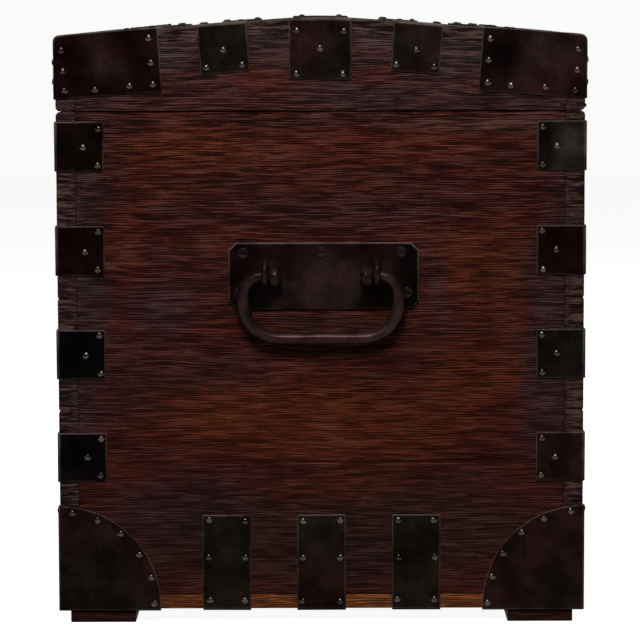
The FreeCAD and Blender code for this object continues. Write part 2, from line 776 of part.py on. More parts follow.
# Hinges: the knuckles stand outside the back. At 95 degrees of opening the lid leaves' heels come down on the
# body leaves, and that stops the lid.
KNUCKLES = 5
KNUCKLE_STAND = 0.5
KNUCKLE_SIDE_GAP = 0.15
NOTCH = 6
HEEL = ((4.2, -1.6), (8.6, 1.4))
PIN_HEAD = 3.4
PIN_HEAD_RISE = 1.5
hinge_y = half_depth + cell.knuckle_radius + KNUCKLE_STAND
hinge_z = rim + cell.rim_gap / 2
body_leaves = []
lid_leaves = []
hinge_pins = []
for word, side in SIDES:
    start = side * cell.hinge_place - cell.hinge_width / 2
    end = side * cell.hinge_place + cell.hinge_width / 2
    step = cell.hinge_width / KNUCKLES
    leaf_face = half_depth + cell.hinge_leaf
    for kind, up, leaves in (("body", -1, body_leaves), ("lid", 1, lid_leaves)):
        name = f"{word}_{kind}_leaf"
        near, far = hinge_z + up * NOTCH, hinge_z + up * cell.hinge_leaf_height
        low, high = (far, near) if up < 0 else (near, far)
        shapes = [box(f"{name}_plate", (start, half_depth, low), (end, leaf_face, high))]
        for index in range(KNUCKLES):
            if (index % 2 == 0) != (kind == "body"):
                continue
            left = start + step * index + KNUCKLE_SIDE_GAP
            right = start + step * (index + 1) - KNUCKLE_SIDE_GAP
            knuckle = (left, hinge_y, hinge_z)
            shapes.append(rod(f"{name}_knuckle_{index}", knuckle, "X", cell.knuckle_radius, right - left))
            web_low, web_high = (near, hinge_z) if up < 0 else (hinge_z, near)
            web = (left, half_depth, web_low)
            shapes.append(box(f"{name}_web_{index}", web, (right, leaf_face, web_high)))
            if kind == "lid":
                heel_low = (left, hinge_y + HEEL[0][0], hinge_z + HEEL[0][1])
                heel_high = (right, hinge_y + HEEL[1][0], hinge_z + HEEL[1][1])
                shapes.append(box(f"{name}_heel_{index}", heel_low, heel_high))
        gap = 0 if kind == "body" else cell.running_gap
        bore_start = (start - CLEAR, hinge_y, hinge_z)
        bore = rod(f"{name}_bore", bore_start, "X", cell.pin_radius + gap, cell.hinge_width + CLEAR * 2)
        leaves.append(cut(name, fuse(f"{name}_blank", *shapes), bore))
    pin = rod(f"{word}_pin", (start, hinge_y, hinge_z), "X", cell.pin_radius, cell.hinge_width)
    heads = [
        rod(f"{word}_pin_head_{number}", (head_start, hinge_y, hinge_z), "X", PIN_HEAD, PIN_HEAD_RISE)
        for number, head_start in ((1, start - PIN_HEAD_RISE), (2, end))
    ]
    hinge_pins.append(fuse(f"{word}_hinge_pin", pin, *heads))
piece("hinge_body_leaves", group("hinge_body_leaves", *body_leaves))
piece("hinge_lid_leaves", group("hinge_lid_leaves", *lid_leaves))
piece("hinge_pins", group("hinge_pins", *hinge_pins))


# The lock: a case let into the front board, a bolt with two hooks that slides in it, and a link plate under
# the lid's front rail. The levels of the links and hooks are given as drops from the rim.
LINKS = (-14, 14)
LINK_THICK = 4
LINK_WIDE = 8
LINK_DROP = 22
LINK_HOLE_WIDE = 5.4
LINK_HOLE_DROPS = (19.8, 14)
HOOK_THICK = 4
HOOK_BAR_DROPS = (30, 24)
HOOK_ARM_DROPS = (19, 15)
HOOK_RISER = 4
HOOK_EASE = 0.2
TIP_GAP = 0.8
SLOT_EASE = 1.5
hook_length = cell.bolt_throw + HOOK_EASE
bar_low, bar_high = (rim - drop for drop in HOOK_BAR_DROPS)
arm_low, arm_high = (rim - drop for drop in HOOK_ARM_DROPS)
hole_low, hole_high = (rim - drop for drop in LINK_HOLE_DROPS)
hook_front, hook_back = link_y - HOOK_THICK / 2, link_y + HOOK_THICK / 2
hollow_low = [size + cell.lock_wall for size in lock_low]
hollow_high = [size - cell.lock_wall for size in lock_high]
case_hollow = box("case_hollow", hollow_low, hollow_high)
case_slots = []
for number, middle_x in enumerate(LINKS, start=1):
    spans = (LINK_THICK + SLOT_EASE * 2, LINK_WIDE + SLOT_EASE, cell.lock_wall * 4)
    case_slots.append(block(f"case_slot_{number}", (middle_x, link_y, rim), spans))
case_keyhole = keyhole("case_keyhole", lock_back - PAST, lock_back + cell.lock_wall + PAST)
case_blank = box("case_blank", lock_low, lock_high)
piece("lock_case", cut("lock_case", case_blank, case_hollow, *case_slots, case_keyhole))

link_shapes = [box("link_bar", link_low, link_high)]
link_holes = []
bolt_shapes = []
for number, middle_x in enumerate(LINKS, start=1):
    left, right = middle_x - LINK_THICK / 2, middle_x + LINK_THICK / 2
    low = (left, link_y - LINK_WIDE / 2, rim - LINK_DROP)
    link_shapes.append(box(f"link_tab_{number}", low, (right, link_y + LINK_WIDE / 2, lid_base)))
    low = (left - PAST, link_y - LINK_HOLE_WIDE / 2, hole_low)
    high = (right + PAST, link_y + LINK_HOLE_WIDE / 2, hole_high)
    link_holes.append(box(f"link_hole_{number}", low, high))
    tip = left - TIP_GAP
    riser = tip - hook_length - HOOK_RISER
    low, high = (riser, hook_front, bar_low), (riser + HOOK_RISER, hook_back, arm_high)
    bolt_shapes.append(box(f"hook_riser_{number}", low, high))
    bolt_shapes.append(box(f"hook_arm_{number}", (riser, hook_front, arm_low), (tip, hook_back, arm_high)))
bar_start = LINKS[0] - LINK_THICK / 2 - TIP_GAP - hook_length - HOOK_RISER
bar_end = LINKS[1] - LINK_THICK / 2 - TIP_GAP
bolt_shapes.append(box("hook_bar", (bar_start, hook_front, bar_low), (bar_end, hook_back, bar_high)))
piece("lock_link_plate", cut("lock_link_plate", fuse("link_blank", *link_shapes), *link_holes))
piece("lock_bolt", fuse("lock_bolt", *bolt_shapes))

SHIELD_HALF = 17
SHIELD_DROPS = (63, 9)
SHIELD_CLIP = 6
COVER_GAP = 0.3
COVER_THICK = 1.6
COVER_TOP = 4.5
COVER_HALF = 8
COVER_REACH = 30
RIVET = 1.6
RIVET_HEAD = 3
RIVET_RISE = 1.2
RIVET_EASE = 0.06
RIVET_DROP = 9
shield_low, shield_high = (rim - drop for drop in SHIELD_DROPS)
rivet_height = shield_high - RIVET_DROP
shield_face = half_depth + cell.plate
shield = [
    (-SHIELD_HALF + SHIELD_CLIP, shield_low),
    (SHIELD_HALF - SHIELD_CLIP, shield_low),
    (SHIELD_HALF, shield_low + SHIELD_CLIP),
    (SHIELD_HALF, shield_high - SHIELD_CLIP),
    (SHIELD_HALF - SHIELD_CLIP, shield_high),
    (-SHIELD_HALF + SHIELD_CLIP, shield_high),
    (-SHIELD_HALF, shield_high - SHIELD_CLIP),
    (-SHIELD_HALF, shield_low + SHIELD_CLIP),
]
cover_face = shield_face + COVER_GAP
rivet_length = COVER_GAP * 2 + COVER_THICK
rivet = rod("rivet", (0, -shield_face - rivet_length, rivet_height), "Y", RIVET, rivet_length)
rivet_top = -shield_face - rivet_length - RIVET_RISE
rivet_head = rod("rivet_head", (0, rivet_top, rivet_height), "Y", RIVET_HEAD, RIVET_RISE)
shield_plate = pad("shield_plate", "XZ_Plane", [shield], half_depth, shield_face)
shield_keyhole = keyhole("shield_keyhole", -shield_face - PAST, -half_depth + PAST)
pierced = cut("pierced_shield", shield_plate, shield_keyhole)
piece("escutcheon", fuse("escutcheon", pierced, rivet, rivet_head))
cover_swell = rivet_height - COVER_REACH + COVER_HALF
drop = [
    (-COVER_TOP, rivet_height),
    (-COVER_HALF, cover_swell, COVER_HALF, 0, cover_swell),
    (0, cover_swell - COVER_HALF, COVER_HALF, 0, cover_swell),
    (COVER_HALF, cover_swell),
    (COVER_TOP, rivet_height, COVER_TOP, 0, rivet_height),
    (0, rivet_height + COVER_TOP, COVER_TOP, 0, rivet_height),
]
cover_plate = pad("cover_plate", "XZ_Plane", [drop], cover_face, cover_face + COVER_THICK)
bore_start = (0, -cover_face - COVER_THICK - PAST, rivet_height)
cover_bore = rod("cover_bore", bore_start, "Y", RIVET + RIVET_EASE, COVER_THICK + PAST * 2)
piece("escutcheon_cover", cut("escutcheon_cover", cover_plate, cover_bore))


# Inside: cleats carry a lift-out tray with cross-halved dividers. Cloth lines the tray and the well under it.
half_tray_x = inner_x - cell.tray_gap
half_tray_y = inner_y - cell.tray_gap
tray_low = cell.tray_floor_height
tray_high = tray_low + cell.tray_height
tray_in_x = half_tray_x - cell.tray_wall
tray_in_y = half_tray_y - cell.tray_wall
cleats = []
for face, front in FACES:
    low_y, high_y = (inner_y - cell.cleat, inner_y) if front > 0 else (-inner_y, -inner_y + cell.cleat)
    low = (-half_tray_x, low_y, tray_low - cell.cleat)
    cleats.append(box(f"{face}_cleat", low, (half_tray_x, high_y, tray_low)))
piece("tray_cleats", group("tray_cleats", *cleats))

HOLD_HEIGHT = 20
HOLD_DROP = 19
sides = []
for face, front in FACES:
    low_y, high_y = (tray_in_y, half_tray_y) if front > 0 else (-half_tray_y, -tray_in_y)
    low = (-half_tray_x, low_y, tray_low)
    sides.append(box(f"tray_{face}", low, (half_tray_x, high_y, tray_high)))
hold_height = tray_high - HOLD_DROP
hold_half = (cell.hand_hold - HOLD_HEIGHT) / 2
for word, side in SIDES:
    low_x, high_x = (tray_in_x, half_tray_x) if side > 0 else (-half_tray_x, -tray_in_x)
    end_stock = box(f"tray_{word}_stock", (low_x, -tray_in_y, tray_low), (high_x, tray_in_y, tray_high))
    start, through = low_x - PAST, cell.tray_wall + PAST * 2
    middle = (side * (tray_in_x + cell.tray_wall / 2), 0, hold_height)
    hold = fuse(
        f"tray_{word}_hold",
        block(f"tray_{word}_hold_middle", middle, (through, hold_half * 2, HOLD_HEIGHT)),
        rod(f"tray_{word}_hold_front", (start, -hold_half, hold_height), "X", HOLD_HEIGHT / 2, through),
        rod(f"tray_{word}_hold_back", (start, hold_half, hold_height), "X", HOLD_HEIGHT / 2, through),
    )
    sides.append(cut(f"tray_{word}", end_stock, hold))
piece("tray_sides", group("tray_sides", *sides))

panel_high = tray_low + cell.tray_panel
panel_plan = [rectangle(-tray_in_x, -tray_in_y, tray_in_x, tray_in_y)]
piece("tray_floor", pad("tray_floor", "XY_Plane", panel_plan, tray_low, panel_high))

LANES = 4
lane_pitch = tray_in_y * 2 / LANES
divider_top = panel_high + cell.divider_height
divider_half = panel_high + cell.divider_height / 2
first_cross = -tray_in_x + cell.knife_bay
second_cross = first_cross + cell.divider + cell.fork_bay
bays = (
    (-tray_in_x, first_cross),
    (first_cross + cell.divider, second_cross),
    (second_cross + cell.divider, tray_in_x),
)
crossings = (bays[0][1], bays[1][1])
lane_joints = [-tray_in_y + lane_pitch * (index + 1) for index in range(LANES - 1)]


def long_dividers(name, low, high, reach):
    """The dividers along the tray, between two heights."""
    half = cell.divider / 2
    bars = [
        box(f"{name}_{index}", (-reach, middle - half, low), (reach, middle + half, high))
        for index, middle in enumerate(lane_joints)
    ]
    return group(name, *bars)


def cross_dividers(name, low, high, reach):
    """The dividers across the tray, between two heights."""
    bars = [
        box(f"{name}_{index}", (start, -reach, low), (start + cell.divider, reach, high))
        for index, start in enumerate(crossings)
    ]
    return group(name, *bars)


long_bars = cut(
    "long_bars",
    long_dividers("long_stock", panel_high, divider_top, tray_in_x),
    cross_dividers("long_slots", divider_half, rim, half_depth),
)
cross_bars = cut(
    "cross_bars",
    cross_dividers("cross_stock", panel_high, divider_top, tray_in_y),
    long_dividers("cross_slots", underside, divider_half, half_length),
)
piece("tray_dividers", group("tray_dividers", long_bars, cross_bars))

cloths = []
for bay, (left, right) in enumerate(bays):
    for lane in range(LANES):
        low_y = -tray_in_y if lane == 0 else lane_joints[lane - 1] + cell.divider / 2
        high_y = tray_in_y if lane == LANES - 1 else lane_joints[lane] - cell.divider / 2
        low = (left, low_y, panel_high)
        cloths.append(box(f"tray_cloth_{bay}_{lane}", low, (right, high_y, panel_high + cell.baize)))
piece("tray_lining", group("tray_lining", *cloths))
well_plan = [rectangle(-inner_x, -inner_y, inner_x, inner_y)]
piece("well_lining", pad("well_lining", "XY_Plane", well_plan, floor_top, floor_top + cell.baize))


# Nails: one domed nail, driven wherever a strap, bracket or leaf is fixed. Their places are counted from the
# edges of the iron.
EDGE = 5.3
MIDDLE_NAIL = 12.7
BRACKET_EDGE = 5
BRACKET_NAILS = 6
BRACKET_STEP = 16.4
BRACKET_FIRST = 0.8
LID_BRACKET_NAILS = ((5, 12), (5, 31), (5, 49), (33, 49), (64, 49), (85, 8), (85, 29), (85, 48))
LID_BRACKET_SIDE_NAILS = ((6, 21), (6, 41), (22, 50), (51, 50), (80, 50), (86, 9), (86, 30))
LID_BRACKET_TOP_NAILS = ((8, 66), (8, 84), (36, 84), (66, 84), (85, 84), (85, 66))
LID_STRAP_NAILS = ((0, 23), (-16.5, 38), (16.5, 38))
MIDDLE_COLUMN = 21.5
MIDDLE_STRAP_NAILS = (
    (-MIDDLE_COLUMN, 10),
    (MIDDLE_COLUMN, 10),
    (0, 26),
    (-MIDDLE_COLUMN, 49),
    (MIDDLE_COLUMN, 49),
)
LID_TOP_ROWS = (10, 38)
LID_SIDE_TOP_ROW = 67
BASE_ROWS = (5, 40, 80)
HINGE_NAILS = ((-22, 18), (22, 18), (-22, 46), (22, 46), (0, 33))
half_x = float(half_length)
half_y = float(half_depth)
proud = float(cell.plate)


def domed_nail():
    """The nail standing on the origin, its shank pointing down."""
    radius = float(cell.nail_head) / 2
    rise = float(cell.nail_rise)
    shank = float(cell.nail_shank) / 2
    length = float(cell.nail_length)
    dome = (radius**2 + rise**2) / (2 * rise)
    half_turn = math.asin(radius / dome) / 2
    on_dome = V(dome * math.sin(half_turn), 0, rise - dome + dome * math.cos(half_turn))
    edges = [
        Part.makeLine(V(0, 0, -length), V(shank, 0, -length)),
        Part.makeLine(V(shank, 0, -length), V(shank, 0, 0)),
        Part.makeLine(V(shank, 0, 0), V(radius, 0, 0)),
        Part.Arc(V(radius, 0, 0), on_dome, V(0, 0, rise)).toShape(),
        Part.makeLine(V(0, 0, rise), V(0, 0, -length)),
    ]
    return Part.Face(Part.Wire(edges)).revolve(V(0, 0, 0), V(0, 0, 1), 360)


nail = domed_nail()
body_nails = []
lid_nails = []


def drive(nails, position, outward):
    driven = nail.copy()
    driven.Placement = FreeCAD.Placement(position, FreeCAD.Rotation(V(0, 0, 1), outward))
    nails.append(driven)


def on_end(nails, side, y, z):
    drive(nails, V(side * (half_x + proud), y, z), V(side, 0, 0))


def on_face(nails, front, x, z):
    drive(nails, V(x, front * (half_y + proud), z), V(0, front, 0))


def on_roof(x, y):
    slope = math.radians(float(cell.roof_slope))
    radius = float(crown_radius)
    lean = math.copysign(min(slope, math.asin(min(1, abs(y) / radius))), y)
    drive(lid_nails, V(x, y, roof_height(y, proud)), V(0, math.sin(lean), math.cos(lean)))


for height in (float(size) for size in corner_strap_heights()):
    inner = proud - float(cell.strap) + EDGE
    edge_drop = float(cell.strap) / 2 - EDGE
    middle = inner + MIDDLE_NAIL
    for across, up in ((inner, edge_drop), (inner, -edge_drop), (middle, 0)):
        for end in (-1, 1):
            for front in (-1, 1):
                on_end(body_nails, end, front * (half_y + across), height + up)
                on_face(body_nails, front, end * (half_x + across), height + up)

arc_radius = float(cell.bracket_radius) - BRACKET_EDGE
for index in range(BRACKET_NAILS):
    angle = math.radians(BRACKET_FIRST + index * BRACKET_STEP)
    across = arc_radius * math.cos(angle)
    height = float(underside + cell.bracket_rise) + arc_radius * math.sin(angle)
    for end in (-1, 1):
        for front in (-1, 1):
            on_end(body_nails, end, front * (half_y - across), height)
            on_face(body_nails, front, end * (half_x - across), height)

column = float(cell.base_strap) / 2 - EDGE
for down in BASE_ROWS:
    height = float(cell.base_strap_top) - down
    for across in (-column, column):
        for index in END_STRAPS:
            for end in (-1, 1):
                on_end(body_nails, end, index * float(cell.base_strap_pitch) + across, height)
        for index in SIDE_STRAPS:
            for front in (-1, 1):
                on_face(body_nails, front, index * float(cell.side_strap_pitch) + across, height)

lean = math.radians(float(cell.roof_slope))
for end in (-1, 1):
    for front in (-1, 1):
        for across, down in LID_BRACKET_NAILS:
            y = half_y - across * math.cos(lean) - down * math.sin(lean)
            z = float(roof_edge) + across * math.sin(lean) - down * math.cos(lean)
            on_end(lid_nails, end, front * y, z)
        for across, down in LID_BRACKET_SIDE_NAILS:
            on_face(lid_nails, front, end * (half_x - across), float(roof_edge) - down)
        for from_end, from_face in LID_BRACKET_TOP_NAILS:
            on_roof(end * (half_x - from_end), front * (half_y - from_face))
    strap_y = float(cell.inner_board_edge)
    strap_z = float(flank(cell.inner_board_edge))
    for across, down in LID_STRAP_NAILS:
        for front in (-1, 1):
            y = strap_y + across - down * math.sin(lean)
            z = strap_z - across * math.sin(lean) - down * math.cos(lean)
            on_end(lid_nails, end, front * y, z)
    for across, down in MIDDLE_STRAP_NAILS:
        on_end(lid_nails, end, across, float(crown_top) - down)
    for row in LID_TOP_ROWS:
        for middle, reach in ((-strap_y, column), (0, MIDDLE_COLUMN), (strap_y, column)):
            for across in (-reach, reach):
                on_roof(end * (half_x - row), middle + across)
for face, front in FACES:
    for index in LID_SIDE_STRAPS[face]:
        middle = index * float(cell.side_strap_pitch)
        for across, down in LID_STRAP_NAILS:
            on_face(lid_nails, front, middle + across, float(roof_edge) - down)
        for across in (-column, column):
            on_roof(middle + across, front * (half_y - LID_SIDE_TOP_ROW))
leaf_top = float(half_depth + cell.hinge_leaf)
for end in (-1, 1):
    for across, away in HINGE_NAILS:
        x = end * float(cell.hinge_place) + across
        drive(body_nails, V(x, leaf_top, float(hinge_z) - away), V(0, 1, 0))
        drive(lid_nails, V(x, leaf_top, float(hinge_z) + away), V(0, 1, 0))

for label, nails in (("carcass_nails", body_nails), ("lid_nails", lid_nails)):
    item = doc.addObject("Part::Feature", label)
    item.Shape = Part.makeCompound(nails)
    piece(label, item)


# Everything is recomputed, checked and written out, one file for each sub-part.
doc.recompute()
faults = [item.Name for item in doc.Objects if "Invalid" in item.State or "Error" in item.State]
for label, item in pieces.items():
    if item.Shape.isNull() or not item.Shape.isValid() or not item.Shape.Solids:
        faults.append(label)
if faults:
    raise SystemExit(f"faulty objects: {faults}")
for label, item in pieces.items():
    item.Shape.exportStep(f"parts/{label}.step")
    print(f"{label}: {len(item.Shape.Solids)} solids, {item.Shape.Volume / 1000:.1f} cm3")
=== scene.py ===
import math
import random
import bmesh
import bpy
from mathutils import Euler, Matrix, Vector, kdtree, noise


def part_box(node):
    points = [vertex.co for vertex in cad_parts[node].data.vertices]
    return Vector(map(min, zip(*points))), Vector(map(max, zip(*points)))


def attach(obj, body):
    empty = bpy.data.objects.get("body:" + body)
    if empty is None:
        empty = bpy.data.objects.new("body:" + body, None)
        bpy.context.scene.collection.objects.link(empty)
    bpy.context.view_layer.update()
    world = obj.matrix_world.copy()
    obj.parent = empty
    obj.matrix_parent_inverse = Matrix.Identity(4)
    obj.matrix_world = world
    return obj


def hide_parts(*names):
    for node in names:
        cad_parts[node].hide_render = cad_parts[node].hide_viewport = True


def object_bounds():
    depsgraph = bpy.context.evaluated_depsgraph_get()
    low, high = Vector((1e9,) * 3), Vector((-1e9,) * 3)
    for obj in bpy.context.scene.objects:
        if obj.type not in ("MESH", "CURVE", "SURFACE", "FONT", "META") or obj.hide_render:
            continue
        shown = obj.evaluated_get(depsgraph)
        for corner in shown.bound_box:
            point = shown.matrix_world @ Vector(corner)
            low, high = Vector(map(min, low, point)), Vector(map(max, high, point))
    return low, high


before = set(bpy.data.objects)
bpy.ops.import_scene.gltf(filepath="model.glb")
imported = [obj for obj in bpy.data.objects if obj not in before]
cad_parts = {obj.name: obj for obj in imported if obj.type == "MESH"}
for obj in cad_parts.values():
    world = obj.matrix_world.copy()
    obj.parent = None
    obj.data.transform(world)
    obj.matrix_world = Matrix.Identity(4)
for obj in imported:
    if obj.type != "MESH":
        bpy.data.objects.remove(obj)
cad_box = [list(corner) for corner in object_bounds()]

# The stage isn't part of the chest: a white paper sweep under it and behind it, a broad lamp above the end
# that faces the camera, weaker ones for the other sides, and a dim grey room. X runs along the chest, and
# the camera looks at its right end, square on, from a little above.
MM = 0.001
scene = bpy.context.scene
scene.view_settings.view_transform = "Standard"

CAMERA_PLACE = (3.075, 0, 0.562)
CAMERA_DOWN = 5.9615
CAMERA_LEFT = 0.0173
CAMERA_ROLL = -0.16
CAMERA_FILM = 36
CAMERA_LENS = 167.4
camera = bpy.data.objects.new("camera", bpy.data.cameras.new("camera"))
camera.data.sensor_width = CAMERA_FILM
camera.data.lens = CAMERA_LENS
camera.location = CAMERA_PLACE
camera.rotation_euler = Euler((math.radians(90 - CAMERA_DOWN), 0, math.radians(90 + CAMERA_LEFT)))
camera.rotation_euler.rotate_axis("Z", math.radians(CAMERA_ROLL))
scene.collection.objects.link(camera)
scene.camera = camera


def lamp(name, place, aim, wide, high, power):
    """A broad lamp, in metres and watts."""
    light = bpy.data.lights.new(name, "AREA")
    light.shape = "RECTANGLE"
    light.size = wide
    light.size_y = high
    light.energy = power
    holder = bpy.data.objects.new(name, light)
    holder.location = place
    holder.rotation_euler = (Vector(aim) - Vector(place)).to_track_quat("-Z", "Y").to_euler()
    scene.collection.objects.link(holder)


lamp("key_lamp", (2.1, -0.1, 1.75), (0.37, 0, 0.3), wide=0.5, high=0.75, power=56)
lamp("top_lamp", (0.8, 0, 2.2), (0.3, 0, 0.4), wide=1.1, high=0.4, power=7)
lamp("front_lamp", (-0.6, -2.4, 1.5), (0, 0, 0.3), wide=1.4, high=1.0, power=42)
lamp("back_lamp", (-1.6, 2.2, 1.5), (0, 0, 0.3), wide=1.4, high=1.0, power=48)

ROOM_GREY = 0.02
world = bpy.data.worlds.new("room")
world.use_nodes = True
world.node_tree.nodes["Background"].inputs["Color"].default_value = (ROOM_GREY, ROOM_GREY, ROOM_GREY, 1)
scene.world = world


class Finish:
    """A material whose nodes are added one after another and read the object's own coordinates."""

    def __init__(self, name, specular=0.1, metallic=0.0):
        self.material = bpy.data.materials.new(name)
        self.material.use_nodes = True
        self.nodes = self.material.node_tree.nodes
        self.links = self.material.node_tree.links
        self.shader = self.nodes["Principled BSDF"]
        self.shader.inputs["Specular IOR Level"].default_value = specular
        self.shader.inputs["Metallic"].default_value = metallic
        self.place = self.add("ShaderNodeTexCoord").outputs["Object"]

    def add(self, kind, *values, **settings):
        """A node with its inputs set in order, from sockets or plain values. None leaves one as it is."""
        node = self.nodes.new(kind)
        for setting, value in settings.items():
            setattr(node, setting, value)
        for socket, value in zip(node.inputs, values):
            if isinstance(value, bpy.types.NodeSocket):
                self.links.new(value, socket)
            elif value is not None:
                socket.default_value = value
        return node

    def math(self, operation, *values):
        return self.add("ShaderNodeMath", *values, operation=operation).outputs[0]

    def vector(self, operation, *values):
        return self.add("ShaderNodeVectorMath", *values, operation=operation).outputs[0]

    def rise(self, value, start, end, low=0.0, high=1.0):
        """Goes smoothly from low to high while the value goes from start to end."""
        node = self.add("ShaderNodeMapRange", value, start, end, low, high, interpolation_type="SMOOTHSTEP")
        return node.outputs[0]

    def mix(self, share, first, second):
        blank = (None,) * 5
        return self.add("ShaderNodeMix", share, *blank, first, second, data_type="RGBA").outputs[2]

    def shade(self, colour, amount):
        """A colour made lighter or darker by a number."""
        return self.vector("SCALE", colour, None, None, amount)

    def stretch(self, place, scale):
        return self.add("ShaderNodeMapping", place, None, None, scale).outputs[0]

    def speckle(self, place, scale, detail=2.0, roughness=0.5):
        """Noise from about 0.3 to 0.7, with its cells 1 / scale metres apart."""
        return self.add("ShaderNodeTexNoise", place, None, scale, detail, roughness)

    def waves(self, place, scale, distortion, detail_scale, **settings):
        """Bands or rings across a place, pushed about by noise."""
        node = self.add("ShaderNodeTexWave", place, scale, distortion, 2.0, detail_scale, 0.6, **settings)
        return node.outputs["Fac"]

    def connect(self, socket, value):
        self.links.new(value, self.shader.inputs[socket])

    def relief(self, height, depth):
        """Bump from a height of 0 to 1 over a depth in metres."""
        node = self.add("ShaderNodeBump", 1.0, depth)
        self.links.new(height, node.inputs["Height"])
        self.connect("Normal", node.outputs[0])


def tone(red, green, blue):
    """A colour written as it shows on a screen, from 0 to 255, turned into light for the shaders."""
    parts = [part / 255 for part in (red, green, blue)]
    return (*(part / 12.92 if part <= 0.04045 else ((part + 0.055) / 1.055) ** 2.4 for part in parts), 1)


PAPER_GLOW = 0.93
PAPER_GREY = 0.3
paper = Finish("white_paper", specular=0)
paper.shader.inputs["Base Color"].default_value = (PAPER_GREY, PAPER_GREY, PAPER_GREY, 1)
rays = paper.add("ShaderNodeLightPath").outputs
seen = paper.math("MAXIMUM", rays["Is Camera Ray"], rays["Is Glossy Ray"])
seen = paper.math("MAXIMUM", seen, rays["Is Transmission Ray"])
paper.connect("Emission Strength", paper.math("MULTIPLY", seen, PAPER_GLOW))
paper.shader.inputs["Emission Color"].default_value = (1, 1, 1, 1)

SWEEP_WIDE = 14
SWEEP_FRONT = 5
SWEEP_BACK = -7
SWEEP_HIGH = 3
sweep = bmesh.new()
bmesh.ops.create_grid(sweep, x_segments=1, y_segments=1, size=0.5)
bmesh.ops.scale(sweep, vec=(SWEEP_FRONT - SWEEP_BACK, SWEEP_WIDE, 1), verts=sweep.verts)
bmesh.ops.translate(sweep, vec=((SWEEP_FRONT + SWEEP_BACK) / 2, 0, 0), verts=sweep.verts)
far_edge = [edge for edge in sweep.edges if all(vert.co.x < 0 for vert in edge.verts)]
raised = bmesh.ops.extrude_edge_only(sweep, edges=far_edge)["geom"]
raised = [item for item in raised if isinstance(item, bmesh.types.BMVert)]
bmesh.ops.translate(sweep, vec=(0, 0, SWEEP_HIGH), verts=raised)
bmesh.ops.recalc_face_normals(sweep, faces=sweep.faces)
sweep_mesh = bpy.data.meshes.new("paper_sweep")
sweep.to_mesh(sweep_mesh)
sweep.free()
sweep_mesh.materials.append(paper.material)
sweep_piece = bpy.data.objects.new("paper_sweep", sweep_mesh)
scene.collection.objects.link(sweep_piece)

# The carcass boards: old oak planks, planed long ago and since worn along the grain, so that the hard ridges
# stand proud and catch the light. The ends run front to back, the long boards run the other way and show
# their end grain beside the ends, and wax and dirt have turned the soft grain nearly black.
GRAIN_X = 0
GRAIN_Y = 1
RED_OAK = tone(66, 22, 13)
GREY_OAK = tone(50, 26, 23)
DARK_OAK = tone(32, 13, 10)
SAWN_OAK = tone(58, 42, 39)
DUST_AND_SHEEN = tone(92, 68, 62)
NOISE_SPAN = (0.36, 0.64)
PLANK_SHIFT = (0.37, 0.31, 0.05)
WANDER = 9 * MM
WAVER = 4 * MM
GRAIN_LINES = 300
FIBRE_LINES = 600
GROWTH_BANDS = 170
FINE_LINES = 1300
COMB_SHARE = 0.36
FIBRE_SHARE = 0.5
GROWTH_SHARE = 0.14
LOW_DOWN = 0.05
HIGH_UP = 0.5
SHELTERED = 0.78
WEATHERED = 1.2
HEART = (0, 0.11, 0.07)
PATCH_STRAY = Vector((60 * MM, 60 * MM, 40 * MM))
GRAIN_RELIEF = 0.6 * MM


